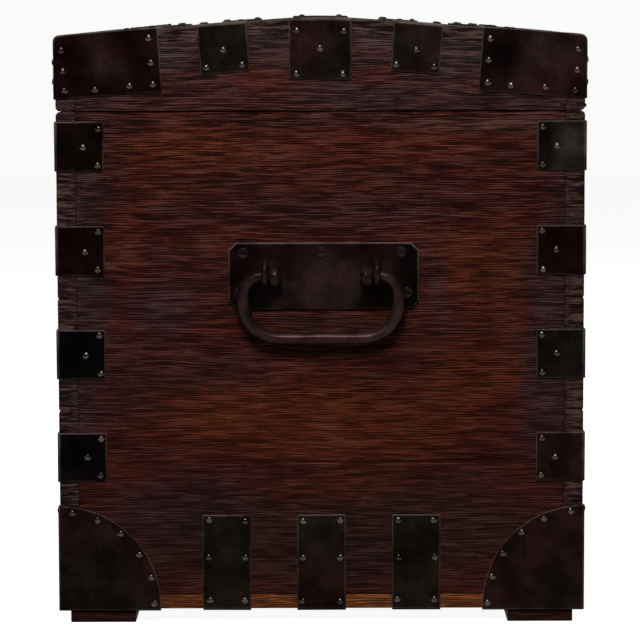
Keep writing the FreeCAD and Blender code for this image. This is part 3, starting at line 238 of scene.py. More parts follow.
def oak(name, along, joints=(), bodies=(RED_OAK, GREY_OAK), patches=(), light=0.6):
    """Worn oak. Joints are heights in millimetres where one plank ends and the next begins, and a patch is
    a colour, its strength, its middle across and up, and how far it reaches both ways."""
    finish = Finish(name, specular=0.03)
    height = finish.add("ShaderNodeSeparateXYZ", finish.place).outputs[2]
    plank = 0.0
    for joint in joints:
        above = finish.math("GREATER_THAN", height, joint * MM)
        plank = finish.math("ADD", above, plank)
    planks = finish.add("ShaderNodeCombineXYZ", plank, plank, plank).outputs[0]
    lumber = finish.vector("MULTIPLY_ADD", planks, PLANK_SHIFT, finish.place)

    def drawn(place, across, length, detail, roughness=0.5):
        """Noise with so many cells a metre across the grain and along it."""
        scale = [across] * 3
        scale[along] = length
        return finish.speckle(finish.stretch(place, scale), 1.0, detail, roughness)

    def pushed(place, noises, reach):
        """A place moved across the grain by a share of a reach, so that the fibres wander."""
        shift = [reach] * 3
        shift[along] = 0
        return finish.vector("MULTIPLY_ADD", noises, shift, place)

    drift = drawn(lumber, 9, 3.5, 1.5).outputs["Color"]
    bent = pushed(lumber, drift, WANDER)
    bent = pushed(bent, drawn(lumber, 50, 15, 2).outputs["Color"], WAVER)

    def grain(across, length, detail, roughness=0.55):
        return drawn(bent, across, length, detail, roughness).outputs["Fac"]

    crosswise = [GRAIN_LINES] * 3
    crosswise[along] = 0
    comb = finish.waves(finish.stretch(bent, crosswise), 1.0, 1.2, 0.5, bands_direction="DIAGONAL")
    fibres = finish.rise(grain(FIBRE_LINES, 30, 3, 0.6), *NOISE_SPAN)
    growth = finish.rise(grain(GROWTH_BANDS, 8, 2), *NOISE_SPAN)
    fine = grain(FINE_LINES, 80, 2)
    comb = finish.math("MULTIPLY", comb, COMB_SHARE)
    ridges = finish.math("ADD", comb, finish.math("MULTIPLY", fibres, FIBRE_SHARE))
    ridges = finish.math("ADD", finish.math("MULTIPLY", growth, GROWTH_SHARE), ridges)
    weathered = finish.rise(height, LOW_DOWN, HIGH_UP, SHELTERED, WEATHERED)
    ridges = finish.math("MULTIPLY_ADD", finish.math("ADD", ridges, -0.5), weathered, 0.5)

    normal = finish.add("ShaderNodeNewGeometry").outputs["Normal"]
    facing = finish.add("ShaderNodeSeparateXYZ", normal).outputs[along]
    sawn = finish.rise(finish.math("ABSOLUTE", facing), 0.6, 0.8)
    heart = finish.vector("ADD", bent, HEART)
    rings = finish.waves(heart, 120, 5, 0.15, wave_type="RINGS", rings_direction="XYZ"[along])
    streaks = finish.speckle(finish.stretch(finish.place, (40, 40, 430)), 1.0, 3.0, 0.6).outputs["Fac"]
    streaks = finish.rise(streaks, *NOISE_SPAN)
    ringed = finish.rise(finish.speckle(finish.place, 14.0).outputs["Fac"], 0.52, 0.62, 0, 0.5)
    rings = finish.add("ShaderNodeMix", ringed, None, streaks, rings, data_type="FLOAT").outputs[0]
    ridges = finish.add("ShaderNodeMix", sawn, None, ridges, rings, data_type="FLOAT").outputs[0]

    body = finish.mix(finish.rise(grain(11, 4, 2), 0.45, 0.7, 0, 0.75), *bodies)
    body = finish.mix(finish.rise(grain(90, 16, 3), 0.42, 0.75, 0, 0.4), body, DARK_OAK)
    loose = finish.vector("MULTIPLY_ADD", drift, PATCH_STRAY, finish.place)
    for colour, strength, across, up, half_across, half_up in patches:
        middle = Vector((0, across * MM, up * MM)) + PATCH_STRAY / 2
        away = finish.vector("SUBTRACT", loose, middle)
        away = finish.vector("MULTIPLY", away, (0, 1 / (half_across * MM), 1 / (half_up * MM)))
        away = finish.add("ShaderNodeVectorMath", away, operation="LENGTH").outputs["Value"]
        body = finish.mix(finish.rise(away, 1.15, 0.35, 0, strength), body, colour)
    body = finish.mix(finish.math("MULTIPLY", sawn, 0.7), body, SAWN_OAK)
    body = finish.shade(body, finish.rise(ridges, 0.12, 0.9, 0.2 * light, 1.7 * light))
    body = finish.shade(body, finish.rise(fine, 0.3, 0.7, 0.62, 1.38))
    # Ridge tops go toward a pale tone: partly dust and wax, partly a painted sheen where the lamp would glint.
    finish.connect("Base Color", finish.mix(finish.rise(ridges, 0.6, 0.95, 0, 0.25), body, DUST_AND_SHEEN))
    finish.connect("Roughness", finish.rise(ridges, 0.2, 0.9, 0.68, 0.42))
    finish.relief(finish.math("ADD", ridges, finish.math("MULTIPLY", fine, 0.25)), GRAIN_RELIEF)
    return finish.material


def copy_of(node):
    """A bmesh of a CAD node's shape, with its loose triangles joined into whole faces."""
    bm = bmesh.new()
    bm.from_mesh(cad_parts[node].data)
    bmesh.ops.remove_doubles(bm, verts=bm.verts, dist=1e-6)
    bmesh.ops.dissolve_limit(bm, angle_limit=math.radians(1), verts=bm.verts, edges=bm.edges)
    return bm


def ridges_of(bm, least, sharp=40):
    """Outward edges that are at least so long and turn by more than an angle in degrees."""
    return [
        edge
        for edge in bm.edges
        if edge.is_manifold
        and edge.is_convex
        and edge.calc_length() > least
        and edge.calc_face_angle() > math.radians(sharp)
    ]


def round_off(bm, edges, size, segments):
    return bmesh.ops.bevel(
        bm,
        geom=edges,
        offset=size,
        segments=segments,
        profile=0.5,
        affect="EDGES",
        clamp_overlap=True,
        material=-1,
    )["faces"]


def cut_up(bm, faces, axis, step, extra=()):
    """Cuts faces by parallel planes across an axis, so that their surface can be shaped."""
    geometry = dict.fromkeys(faces)
    for face in faces:
        geometry.update(dict.fromkeys([*face.edges, *face.verts]))
    along = [vert.co[axis] for face in faces for vert in face.verts]
    start, end = min(along), max(along)
    count = max(1, round((end - start) / step))
    places = [start + (end - start) * index / count for index in range(1, count)]
    normal = Vector([float(index == axis) for index in range(3)])
    geometry = list(geometry)
    for place in sorted([*places, *extra]):
        cut = bmesh.ops.bisect_plane(bm, geom=geometry, dist=1e-6, plane_co=normal * place, plane_no=normal)
        geometry = cut["geom"]
    return [item for item in geometry if isinstance(item, bmesh.types.BMFace)]


def finished(bm, name, body, material, nodes, smooth=40):
    """Makes a bmesh a piece of the chest that rides on a body and stands for its CAD nodes."""
    for face in bm.faces:
        face.smooth = True
    mesh = bpy.data.meshes.new(name)
    bm.to_mesh(mesh)
    bm.free()
    mesh.set_sharp_from_angle(angle=math.radians(smooth))
    mesh.materials.append(material)
    piece = bpy.data.objects.new(name, mesh)
    scene.collection.objects.link(piece)
    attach(piece, body)
    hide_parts(*nodes)
    return piece


WORN_EDGE = 0.9 * MM
RIDGE_DEPTH = 0.2 * MM
RIDGES_ACROSS = 420
RIDGES_ALONG = 24
HOLLOW_DEPTH = 0.35 * MM
HOLLOWS = 7
SEAM_DEPTH = 0.9 * MM
SEAM_HALF = 1.1 * MM
SEAM_CUTS = (-2 * MM, -0.9 * MM, 0, 0.9 * MM, 2 * MM)
GRAIN_STEP = 16 * MM
END_STEP = 4 * MM


def board(node, body, along, material, shown, joints=(), row=2.2 * MM, across=2):
    """An oak board: its edges are worn round and its shown faces are ridged along the grain."""
    bm = copy_of(node)
    round_off(bm, ridges_of(bm, 20 * MM), WORN_EDGE, 2)
    faces = [face for face in bm.faces if shown(face.normal)]
    seams = [joint * MM + away for joint in joints for away in SEAM_CUTS]
    faces = cut_up(bm, faces, along, GRAIN_STEP)
    faces = cut_up(bm, faces, across, row, seams)
    if any(abs(face.normal[along]) > 0.9 for face in faces):
        faces = cut_up(bm, faces, 3 - across - along, END_STEP)
    bm.normal_update()
    scale = Vector([RIDGES_ACROSS] * 3)
    scale[along] = RIDGES_ALONG
    for vert in {vert for face in faces for vert in face.verts}:
        ridge = noise.noise(vert.co * scale)
        hollow = noise.noise(vert.co * HOLLOWS)
        depth = RIDGE_DEPTH * (0.1 - 0.5 * ridge) + HOLLOW_DEPTH * (0.1 - 0.5 * hollow)
        for joint in joints:
            depth += SEAM_DEPTH * math.exp(-((vert.co.z - joint * MM) / SEAM_HALF) ** 2)
        vert.co -= vert.normal * depth
    return finished(bm, f"{node}_oak", body, material, [node])


def outward(axis, side):
    """Tells the outer faces of a board that looks one way."""
    return lambda normal: normal[axis] * side > 0.2


def outward_and_ends(side):
    """Tells the outer faces and the end grain of a long board on the front or the back."""
    return lambda normal: normal.y * side > 0.2 or abs(normal.x) > 0.7


END_JOINTS = (149, 333)
LONG_JOINTS = (197, 300)
ORANGE = tone(88, 36, 14)
RED_WARM = tone(80, 27, 16)
PURPLE = tone(49, 33, 36)
PALE = tone(76, 46, 40)
PLUM = tone(42, 22, 24)
LOW_PLANK_AND_SHADE = tone(46, 27, 20)
END_PATCHES = (
    (ORANGE, 0.75, -118, 443, 84, 25),
    (RED_WARM, 0.75, 60, 443, 160, 25),
    (PALE, 0.7, 150, 461, 100, 9),
    (RED_WARM, 0.35, -172, 353, 24, 56),
    (ORANGE, 0.65, 142, 330, 46, 50),
    (ORANGE, 0.7, 5, 192, 180, 46),
    (ORANGE, 0.35, -70, 195, 80, 30),
    (ORANGE, 0.5, 145, 234, 58, 36),
    # Painted shadow of the bail's grip on the end board.
    (DARK_OAK, 0.4, 0, 258, 90, 14),
    # Painted shade on the end board between the handle plate and the grip, under the plate.
    (LOW_PLANK_AND_SHADE, 0.6, 0, 277, 70, 14),
    (PLUM, 0.5, 0, 378, 170, 20),
    (LOW_PLANK_AND_SHADE, 0.8, 0, 75, 330, 62),
    (ORANGE, 0.2, 10, 128, 110, 16),
    (PLUM, 0.75, -130, 105, 76, 44),
    (PLUM, 0.6, 45, 50, 20, 30),
    (PURPLE, 0.85, -220, 300, 34, 210),
    (PURPLE, 0.8, 216, 300, 34, 210),
    (PURPLE, 0.65, -145, 285, 40, 34),
    (PURPLE, 0.45, -145, 385, 20, 9),
    (PURPLE, 0.45, 104, 300, 12, 50),
)
end_oak = oak("end_oak", GRAIN_Y, END_JOINTS, patches=END_PATCHES)
long_oak = oak("long_oak", GRAIN_X, LONG_JOINTS, bodies=(tone(58, 25, 17), tone(50, 34, 31)))
bottom_oak = oak("bottom_oak", GRAIN_Y, bodies=(tone(108, 60, 30), tone(80, 40, 20)), light=0.9)
foot_oak = oak("foot_oak", GRAIN_Y, bodies=(tone(46, 22, 13), tone(34, 16, 10)))
for word, side in (("left", -1), ("right", 1)):
    board(f"{word}_end_board", "carcass", GRAIN_Y, end_oak, outward(0, side), END_JOINTS)
for word, side in (("front", -1), ("back", 1)):
    board(f"{word}_board", "carcass", GRAIN_X, long_oak, outward_and_ends(side), LONG_JOINTS)
    for end in ("left", "right"):
        foot = copy_of(f"{word}_{end}_foot")
        round_off(foot, ridges_of(foot, 5 * MM), 2 * MM, 2)
        finished(foot, f"{word}_{end}_foot_oak", "carcass", foot_oak, [f"{word}_{end}_foot"])
base = copy_of("bottom_board")
round_off(base, ridges_of(base, 5 * MM), WORN_EDGE, 2)
finished(base, "bottom_board_oak", "carcass", bottom_oak, ["bottom_board"])

# The carcass ironwork: sheet iron straps and brackets, bent cold round the corners and blacked. Each has its
# own cast of olive, burgundy or blue where the blacking has aged, with black spots painted in as the bails'
# shadow on the handle plates, and its rims are rubbed bright in places and carry a painted highlight where
# they face up.
PLATE = 1.6 * MM
JET = tone(7, 4, 3)
BLUE = tone(4, 3, 4)
OLIVE = tone(19, 15, 11)
MOSS = tone(30, 27, 22)
GREEN = tone(15, 12, 9)
BURGUNDY = tone(14, 4, 4)
BROWN = tone(26, 13, 11)
ROSE = tone(30, 18, 19)
RUBBED_AND_HIGHLIT_IRON = tone(110, 98, 92)
GRAZING_IRON = tone(90, 90, 90)
END_TINTS_AND_SHADOWS = (
    (JET, -219, 438), (BURGUNDY, -219, 344), (BLUE, -219, 249), (BLUE, -219, 154),
    (JET, 201, 445), (MOSS, 229, 436), (BURGUNDY, 219, 344), (GREEN, 219, 249), (BROWN, 219, 154),
    (BROWN, -225, 95), (OLIVE, -210, 50), (OLIVE, -185, 45), (BROWN, -165, 60),
    (BROWN, 225, 85), (BROWN, 190, 60), (OLIVE, 215, 35), (BROWN, 170, 40),
    (OLIVE, -87, 75), (OLIVE, -87, 30), (OLIVE, 0, 80), (BROWN, 0, 35), (OLIVE, 87, 75), (OLIVE, 87, 30),
    (BURGUNDY, -222, 520), (ROSE, -198, 512), (BURGUNDY, -182, 528), (BURGUNDY, -160, 500),
    (BURGUNDY, -205, 490), (ROSE, 224, 524), (ROSE, 200, 520), (BROWN, 190, 500), (JET, 165, 520),
    (BROWN, 222, 498),
    (GREEN, -89, 525), (BROWN, -12, 530), (GREEN, 20, 515), (OLIVE, 78, 525), (BROWN, 100, 520),
    (BURGUNDY, -78, 342), (BURGUNDY, -30, 345), (BURGUNDY, 40, 345), (BLUE, 80, 340), (BLUE, 82, 300),
    # The two JET spots in the handle plate's lower corners are painted shadow of the bail's shoulders.
    (JET, -62, 301), (JET, 58, 301), (ROSE, -45, 322), (ROSE, 0, 312), (ROSE, 30, 325), (ROSE, -10, 295),
    (BROWN, 60, 328), (BURGUNDY, -80, 305),
)
STRAY_TINTS = 120
END_MARGIN = 70 * MM
TINT_BLUR = 6 * MM
half_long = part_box("right_end_board")[1].x
draw = random.Random(7)
noise.seed_set(7)
tints = [(colour, Vector((half_long, y * MM, z * MM))) for colour, y, z in END_TINTS_AND_SHADOWS]
for index in range(STRAY_TINTS):
    spot = [draw.uniform(low, high) for low, high in zip(*cad_box)]
    if spot[0] < half_long - END_MARGIN:
        tints.append((draw.choice((OLIVE, BURGUNDY, BLUE, GREEN, BROWN)), Vector(spot)))
tint_tree = kdtree.KDTree(len(tints))
for index, (colour, spot) in enumerate(tints):
    tint_tree.insert(spot, index)
tint_tree.balance()


def tint_at(point):
    """The colour of the blacking at a point, painted shadow spots included, blended from the nearest few
    spots.
    """
    total = Vector((0, 0, 0))
    weights = 0
    for spot, index, distance in tint_tree.find_n(point, 3):
        weight = 1 / (distance + TINT_BLUR) ** 3
        total += Vector(tints[index][0][:3]) * weight
        weights += weight
    return (*(total / weights), 1)


def iron(name, colour=None, metallic=0.0, specular=0.006, rough=(0.3, 0.46), dent=0.25 * MM):
    """Old iron. Without a colour it reads the tint, with its painted shadow spots, and the rims' wear and
    painted highlight, set on the piece.
    """
    finish = Finish(name, specular=specular, metallic=metallic)
    if metallic:
        finish.shader.inputs["Specular Tint"].default_value = GRAZING_IRON
    blotches = finish.speckle(finish.place, 38.0, 4.0, 0.6).outputs["Fac"]
    grit = finish.speckle(finish.place, 700.0, 3.0, 0.6).outputs["Fac"]
    marks = finish.speckle(finish.place, 160.0, 2.0).outputs["Fac"]
    if colour is None:
        body = finish.add("ShaderNodeAttribute", attribute_name="tint").outputs["Color"]
    else:
        body = finish.add("ShaderNodeRGB").outputs[0]
        body.default_value = colour
    body = finish.shade(body, finish.rise(blotches, 0.3, 0.72, 0.5, 1.7))
    body = finish.shade(body, finish.rise(grit, 0.3, 0.7, 0.75, 1.3))
    if colour is None:
        # Rims go toward a pale iron: wear, and on rims that face up a painted highlight from the lamp above.
        wear_and_highlight = finish.add("ShaderNodeAttribute", attribute_name="wear_and_highlight").outputs["Fac"]
        wear_and_highlight = finish.math("MULTIPLY", wear_and_highlight, finish.rise(blotches, 0.3, 0.6, 0.25))
        body = finish.mix(finish.math("MULTIPLY", wear_and_highlight, 0.6), body, RUBBED_AND_HIGHLIT_IRON)
    finish.connect("Base Color", body)
    finish.connect("Roughness", finish.rise(blotches, 0.3, 0.7, *rough))
    finish.relief(finish.math("ADD", marks, finish.math("MULTIPLY", grit, 0.35)), dent)
    return finish.material


def thin(face, plate):
    """Whether a face is the cut edge of a plate."""
    return face.calc_area() < 0.6 * plate * face.calc_perimeter()


RUBBED = 0.9 * MM
BUCKLE_STEP = 8 * MM
FOLD = 2.2 * MM
SHORT_EDGE = 1.3
BUCKLES = 45
BUCKLE = 0.3 * MM


def forge(node, body, material, plate=PLATE, corner=1.3 * MM, rim=0.45 * MM, knocked=0):
    """Ironwork made from a CAD node: clipped corners, eased bends, rounded rims that are rubbed and carry a
    painted highlight where they face up, and faces that buckle a little. Knocked is how much wear its bends
    show."""
    bm = copy_of(node)
    rim_layer = bm.faces.layers.int.new("rim")
    fold_layer = bm.faces.layers.int.new("fold")
    wear_and_highlight = bm.verts.layers.float.new("wear_and_highlight")
    tint = bm.verts.layers.float_color.new("tint")
    if corner:
        short = [edge for edge in ridges_of(bm, 0) if edge.calc_length() < plate * SHORT_EDGE]
        round_off(bm, short, corner, 2)
    folds = [
        edge
        for edge in ridges_of(bm, plate * SHORT_EDGE)
        if not any(thin(face, plate) for face in edge.link_faces)
    ]
    for face in round_off(bm, folds, FOLD, 3):
        face[fold_layer] = 1
    rims = [
        edge
        for edge in ridges_of(bm, 0)
        if any(thin(face, plate) for face in edge.link_faces)
    ]
    round_off(bm, rims, rim, 2)
    broad = [face for face in bm.faces if not thin(face, plate)]
    bmesh.ops.inset_individual(bm, faces=broad, thickness=RUBBED, use_even_offset=True)
    for face in bm.faces:
        face[rim_layer] = 1
    for face in broad:
        face[rim_layer] = 0
    for axis in range(3):
        cut_up(bm, [face for face in bm.faces if not face[rim_layer]], axis, BUCKLE_STEP)
    bm.normal_update()
    for vert in bm.verts:
        # Rims facing up are marked lighter as a painted highlight, besides their wear.
        upward = min(max(0.4 + 0.8 * vert.normal.z, 0), 1)
        vert[wear_and_highlight] = upward * all(face[rim_layer] for face in vert.link_faces)
        if all(face[fold_layer] for face in vert.link_faces):
            vert[wear_and_highlight] = max(vert[wear_and_highlight], knocked)
        vert[tint] = tint_at(vert.co)
        vert.co += noise.noise_vector(vert.co * BUCKLES) * BUCKLE
    return finished(bm, f"{node}_iron", body, material, [node], smooth=50)


black_iron = iron("black_iron")
for face in ("front", "back"):
    for end in ("left", "right"):
        forge(f"{face}_{end}_corner_straps", "carcass", black_iron)
        forge(f"{face}_{end}_base_bracket", "carcass", black_iron, corner=1 * MM)
for word in ("left", "right", "front", "back"):
    forge(f"{word}_base_straps", "carcass", black_iron)

# The lid: oak rails and ends under four top boards, two flat and two that make the crown. Their joints run
# under the straps. The ends have their grain front to back, the rest lies along the chest.
LILAC = tone(62, 46, 47)
LID_PATCHES = (
    (RED_WARM, 0.6, -50, 494, 40, 13),
    (RED_WARM, 0.5, 50, 496, 36, 11),
    (ORANGE, 0.35, -70, 505, 20, 8),
    (LILAC, 0.8, -132, 522, 32, 24),
    (LILAC, 0.8, 128, 522, 32, 24),
    (LILAC, 0.75, -48, 535, 24, 20),
    (LILAC, 0.75, 52, 535, 24, 20),
    (PURPLE, 0.6, -205, 478, 40, 12),
    (PURPLE, 0.6, 205, 478, 40, 12),
)
LID_END_BODIES = (tone(60, 26, 22), tone(56, 36, 35))
lid_end_oak = oak("lid_end_oak", GRAIN_Y, bodies=LID_END_BODIES, patches=LID_PATCHES, light=0.64)
roof_oak = oak("roof_oak", GRAIN_X, bodies=(tone(56, 34, 30), tone(50, 36, 34)))


def upward_and_ends(side):
    """Tells the upper faces and the end grain of a roof board, and its outer edge if it has a side."""
    return lambda normal: normal.z > 0.2 or abs(normal.x) > 0.7 or normal.y * side > 0.5


for word, side in (("left", -1), ("right", 1)):
    board(f"lid_{word}_end", "lid", GRAIN_Y, lid_end_oak, outward(0, side))
for word, side in (("front", -1), ("back", 1)):
    board(f"lid_{word}_rail", "lid", GRAIN_X, long_oak, outward_and_ends(side))
    board(f"lid_{word}_outer_board", "lid", GRAIN_X, roof_oak, upward_and_ends(side), across=1)
    board(f"lid_{word}_inner_board", "lid", GRAIN_X, roof_oak, upward_and_ends(0), across=1)

# The lid ironwork: corner brackets bent over three faces, and straps bent down over the edges. The brackets
# took the knocks of many journeys, so their bends are rubbed bright; their rims, like all the ironwork's, are
# rubbed and carry a painted highlight where they face up.
for face in ("front", "back"):
    for end in ("left", "right"):
        forge(f"lid_{face}_{end}_bracket", "lid", black_iron, corner=1 * MM, knocked=1)
for word in ("left", "right", "front", "back"):
    forge(f"lid_{word}_straps", "lid", black_iron, knocked=0.6)

# The nails: iron roves with small domed heads, hammered home by eye, so that no two sit quite alike. They
# hold every strap and bracket, and their tops are rubbed to dull steel.
NAIL_RADIUS = 3.3 * MM
NAIL_RISE = 1.9 * MM
NAIL_DRIFT = 0.5 * MM
NAIL_LEAN = 7
NAIL_SUNK = 0.25 * MM
NAIL_BODY = tone(62, 54, 50)
half_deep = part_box("back_board")[1].y
nail_iron = iron("nail_iron", NAIL_BODY, metallic=1.0, specular=0.5, rough=(0.22, 0.34), dent=0.1 * MM)


def dome():
    """One nail head on the origin, a few dozen faces."""
    bm = bmesh.new()
    bmesh.ops.create_uvsphere(bm, u_segments=11, v_segments=8, radius=NAIL_RADIUS)
    ball = bm.verts[:] + bm.edges[:] + bm.faces[:]
    down = (0, 0, -1)
    bmesh.ops.bisect_plane(bm, geom=ball, dist=1e-6, plane_co=(0, 0, 0), plane_no=down, clear_outer=True)
    open_edges = [edge for edge in bm.edges if edge.is_boundary]
    bmesh.ops.edgeloop_fill(bm, edges=open_edges)
    for vert in bm.verts:
        vert.co.z = NAIL_RISE * (max(vert.co.z, 0) / NAIL_RADIUS) ** 0.75
    bmesh.ops.recalc_face_normals(bm, faces=bm.faces)
    mesh = bpy.data.meshes.new("nail_head")
    bm.to_mesh(mesh)
    bm.free()
    return mesh


nail_head = dome()


def drive(nails, place, direction):
    """A head driven at a place, a little off its mark and off square, and dented by the hammer."""
    turn = Vector(direction).to_track_quat("Z", "Y").to_matrix().to_4x4()
    lean = Euler([math.radians(draw.gauss(0, NAIL_LEAN)) for _ in range(2)] + [draw.uniform(0, 6)])
    slip = Vector((draw.gauss(0, NAIL_DRIFT), draw.gauss(0, NAIL_DRIFT), -NAIL_SUNK))
    stand = Matrix.Translation(place) @ turn @ Matrix.Translation(slip) @ lean.to_matrix().to_4x4()
    known = len(nails.verts)
    nails.from_mesh(nail_head)
    nails.verts.ensure_lookup_table()
    wide = draw.uniform(0.92, 1.06)
    for vert in nails.verts[known:]:
        dented = Vector((vert.co.x * wide, vert.co.y / wide, vert.co.z * draw.uniform(0.85, 1.05)))
        vert.co = stand @ dented


END_AT = half_long / MM
FACE_AT = half_deep / MM
SIDES = (-1, 1)


def on_end(nails, side, y, z):
    """A head on an end of the chest at y and z, in millimetres."""
    drive(nails, (side * (half_long + PLATE), y * MM, z * MM), (side, 0, 0))


def on_face(nails, front, x, z):
    """A head on the front or the back at x and z, in millimetres."""
    drive(nails, (x * MM, front * (half_deep + PLATE), z * MM), (0, front, 0))


STRAP_HEIGHTS = [438.6 - 94.9 * index for index in range(4)]
STRAP_NAILS = ((-38.1, 17.2), (-38.1, -17.2), (-25.4, 0))
carcass_nails = bmesh.new()
for height in STRAP_HEIGHTS:
    for across, up in STRAP_NAILS:
        for end in SIDES:
            for front in SIDES:
                on_end(carcass_nails, end, front * (FACE_AT + across), height + up)
                on_face(carcass_nails, front, end * (END_AT + across), height + up)

ARC_RADIUS = 87
ARC_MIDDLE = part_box("bottom_board")[0].z / MM + 3.5
ARC_ANGLES = [0.8 + 16.4 * index for index in range(6)]
for angle in ARC_ANGLES:
    across = ARC_RADIUS * math.cos(math.radians(angle))
    height = ARC_MIDDLE + ARC_RADIUS * math.sin(math.radians(angle))
    for end in SIDES:
        for front in SIDES:
            on_end(carcass_nails, end, front * (FACE_AT - across), height)
            on_face(carcass_nails, front, end * (END_AT - across), height)

NAIL_PAIR = (-16.95, 16.95)
END_PITCH = 87
LONG_PITCH = 105
BASE_HEIGHTS = (95.5, 60.5, 20.5)
for height in BASE_HEIGHTS:
    for across in NAIL_PAIR:
        for end in SIDES:
            for index in (-1, 0, 1):
                on_end(carcass_nails, end, index * END_PITCH + across, height)
        for front in SIDES:
            for index in (-2, -1, 0, 1, 2):
                on_face(carcass_nails, front, index * LONG_PITCH + across, height)

ROOF_SLOPE = math.radians(4.25)
CROWN_HALF = 55
CROWN_RADIUS = CROWN_HALF / math.sin(ROOF_SLOPE)
ROOF_SIDE = 537.5
crown_edge = ROOF_SIDE + (FACE_AT - CROWN_HALF) * math.tan(ROOF_SLOPE)
crown_top = crown_edge + CROWN_RADIUS * (1 - math.cos(ROOF_SLOPE))


def on_roof(nails, x, y):
    """A head on the roof's plate at x and y, in millimetres."""
    proud = PLATE / MM
    if abs(y) < CROWN_HALF:
        lean = math.asin(y / CROWN_RADIUS)
        height = crown_top - CROWN_RADIUS * (1 - math.cos(lean)) + proud
    else:
        lean = math.copysign(ROOF_SLOPE, y)
        height = ROOF_SIDE + (FACE_AT - abs(y)) * math.tan(ROOF_SLOPE) + proud / math.cos(ROOF_SLOPE)
    drive(nails, (x * MM, y * MM, height * MM), (0, math.sin(lean), math.cos(lean)))


BRACKET_END_NAILS = ((5, 12), (5, 31), (5, 49), (33, 49), (64, 49), (85, 8), (85, 29), (85, 48))
BRACKET_FACE_NAILS = ((6, 21), (6, 41), (22, 50), (51, 50), (80, 50), (86, 9), (86, 30))
BRACKET_ROOF_NAILS = ((8, 66), (8, 84), (36, 84), (66, 84), (85, 84), (85, 66))
LID_STRAP_NAILS = ((0, 23), (-16.5, 38), (16.5, 38))
MIDDLE_STRAP_NAILS = ((-21.5, 10), (21.5, 10), (0, 26), (-21.5, 49), (21.5, 49))
STRAP_MIDDLE = 89
ROOF_ROWS = (10, 38)
ROOF_STRAPS = ((-STRAP_MIDDLE, 16.95), (0, 21.5), (STRAP_MIDDLE, 16.95))
ROOF_DEPTH = 67
strap_top = ROOF_SIDE + (FACE_AT - STRAP_MIDDLE) * math.tan(ROOF_SLOPE)
lid_nails = bmesh.new()
for end in SIDES:
    for front in SIDES:
        for across, down in BRACKET_END_NAILS:
            y = FACE_AT - across * math.cos(ROOF_SLOPE) - down * math.sin(ROOF_SLOPE)
            z = ROOF_SIDE + across * math.sin(ROOF_SLOPE) - down * math.cos(ROOF_SLOPE)
            on_end(lid_nails, end, front * y, z)
        for across, down in BRACKET_FACE_NAILS:
            on_face(lid_nails, front, end * (END_AT - across), ROOF_SIDE - down)
        for from_end, from_face in BRACKET_ROOF_NAILS:
            on_roof(lid_nails, end * (END_AT - from_end), front * (FACE_AT - from_face))
        for across, down in LID_STRAP_NAILS:
            y = STRAP_MIDDLE + across - down * math.sin(ROOF_SLOPE)
            z = strap_top - across * math.sin(ROOF_SLOPE) - down * math.cos(ROOF_SLOPE)
            on_end(lid_nails, end, front * y, z)
    for across, down in MIDDLE_STRAP_NAILS:
        on_end(lid_nails, end, across, crown_top - down)
    for row in ROOF_ROWS:
        for middle, reach in ROOF_STRAPS:
            for across in (-reach, reach):
                on_roof(lid_nails, end * (END_AT - row), middle + across)
for front, places in ((-1, (-2, -1, 0, 1, 2)), (1, (-1, 0, 1))):
    for index in places:
        for across, down in LID_STRAP_NAILS:
            on_face(lid_nails, front, index * LONG_PITCH + across, ROOF_SIDE - down)
        for across in NAIL_PAIR:
            on_roof(lid_nails, index * LONG_PITCH + across, front * (FACE_AT - ROOF_DEPTH))

HINGE_PIN = 470.3
HINGE_PLACE = 210
HINGE_NAILS = ((-22, 18), (22, 18), (-22, 46), (22, 46), (0, 33))
hinge_leaf = half_deep + 3 * MM
for end in SIDES:
    for across, away in HINGE_NAILS:
        for nails, up in ((carcass_nails, -1), (lid_nails, 1)):
            place = ((end * HINGE_PLACE + across) * MM, hinge_leaf, (HINGE_PIN + up * away) * MM)
            drive(nails, place, (0, 1, 0))
finished(carcass_nails, "carcass_nail_heads", "carcass", nail_iron, ["carcass_nails"])
finished(lid_nails, "lid_nail_heads", "lid", nail_iron, ["lid_nails"])

# The carrying handles: a thick back plate held by slotted screws, two wrought eyes driven through it, and a
# bail forged from round bar, thinned at the ends and upset into ragged heads inside the eyes.
HANDLE_PLATE = 3 * MM
ROD = 6 * MM
ROD_END = 4.75 * MM
HEAD = 9.75 * MM
HEAD_LONG = 12 * MM
HEAD_GAP = 5.6 * MM
NECK = 1.4 * MM
SAG = 1.2 * MM
SHOULDER = 18 * MM
BEND = 32 * MM
HEAD_RINGS = ((1.6 * MM, 1, 0.5, 0.85), (3 * MM, 1, 0.85, 1), (HEAD_LONG - 6 * MM, 2, 1, 0.94))
BAR_MARKS = 60
BAR_DENT = 0.45 * MM
HEAD_MARKS = 260
HEAD_DENT = 0.9 * MM
forged_iron = iron(
    "forged_iron", tone(36, 25, 24), metallic=0.5, specular=0.04, rough=(0.26, 0.36), dent=0.2 * MM
)


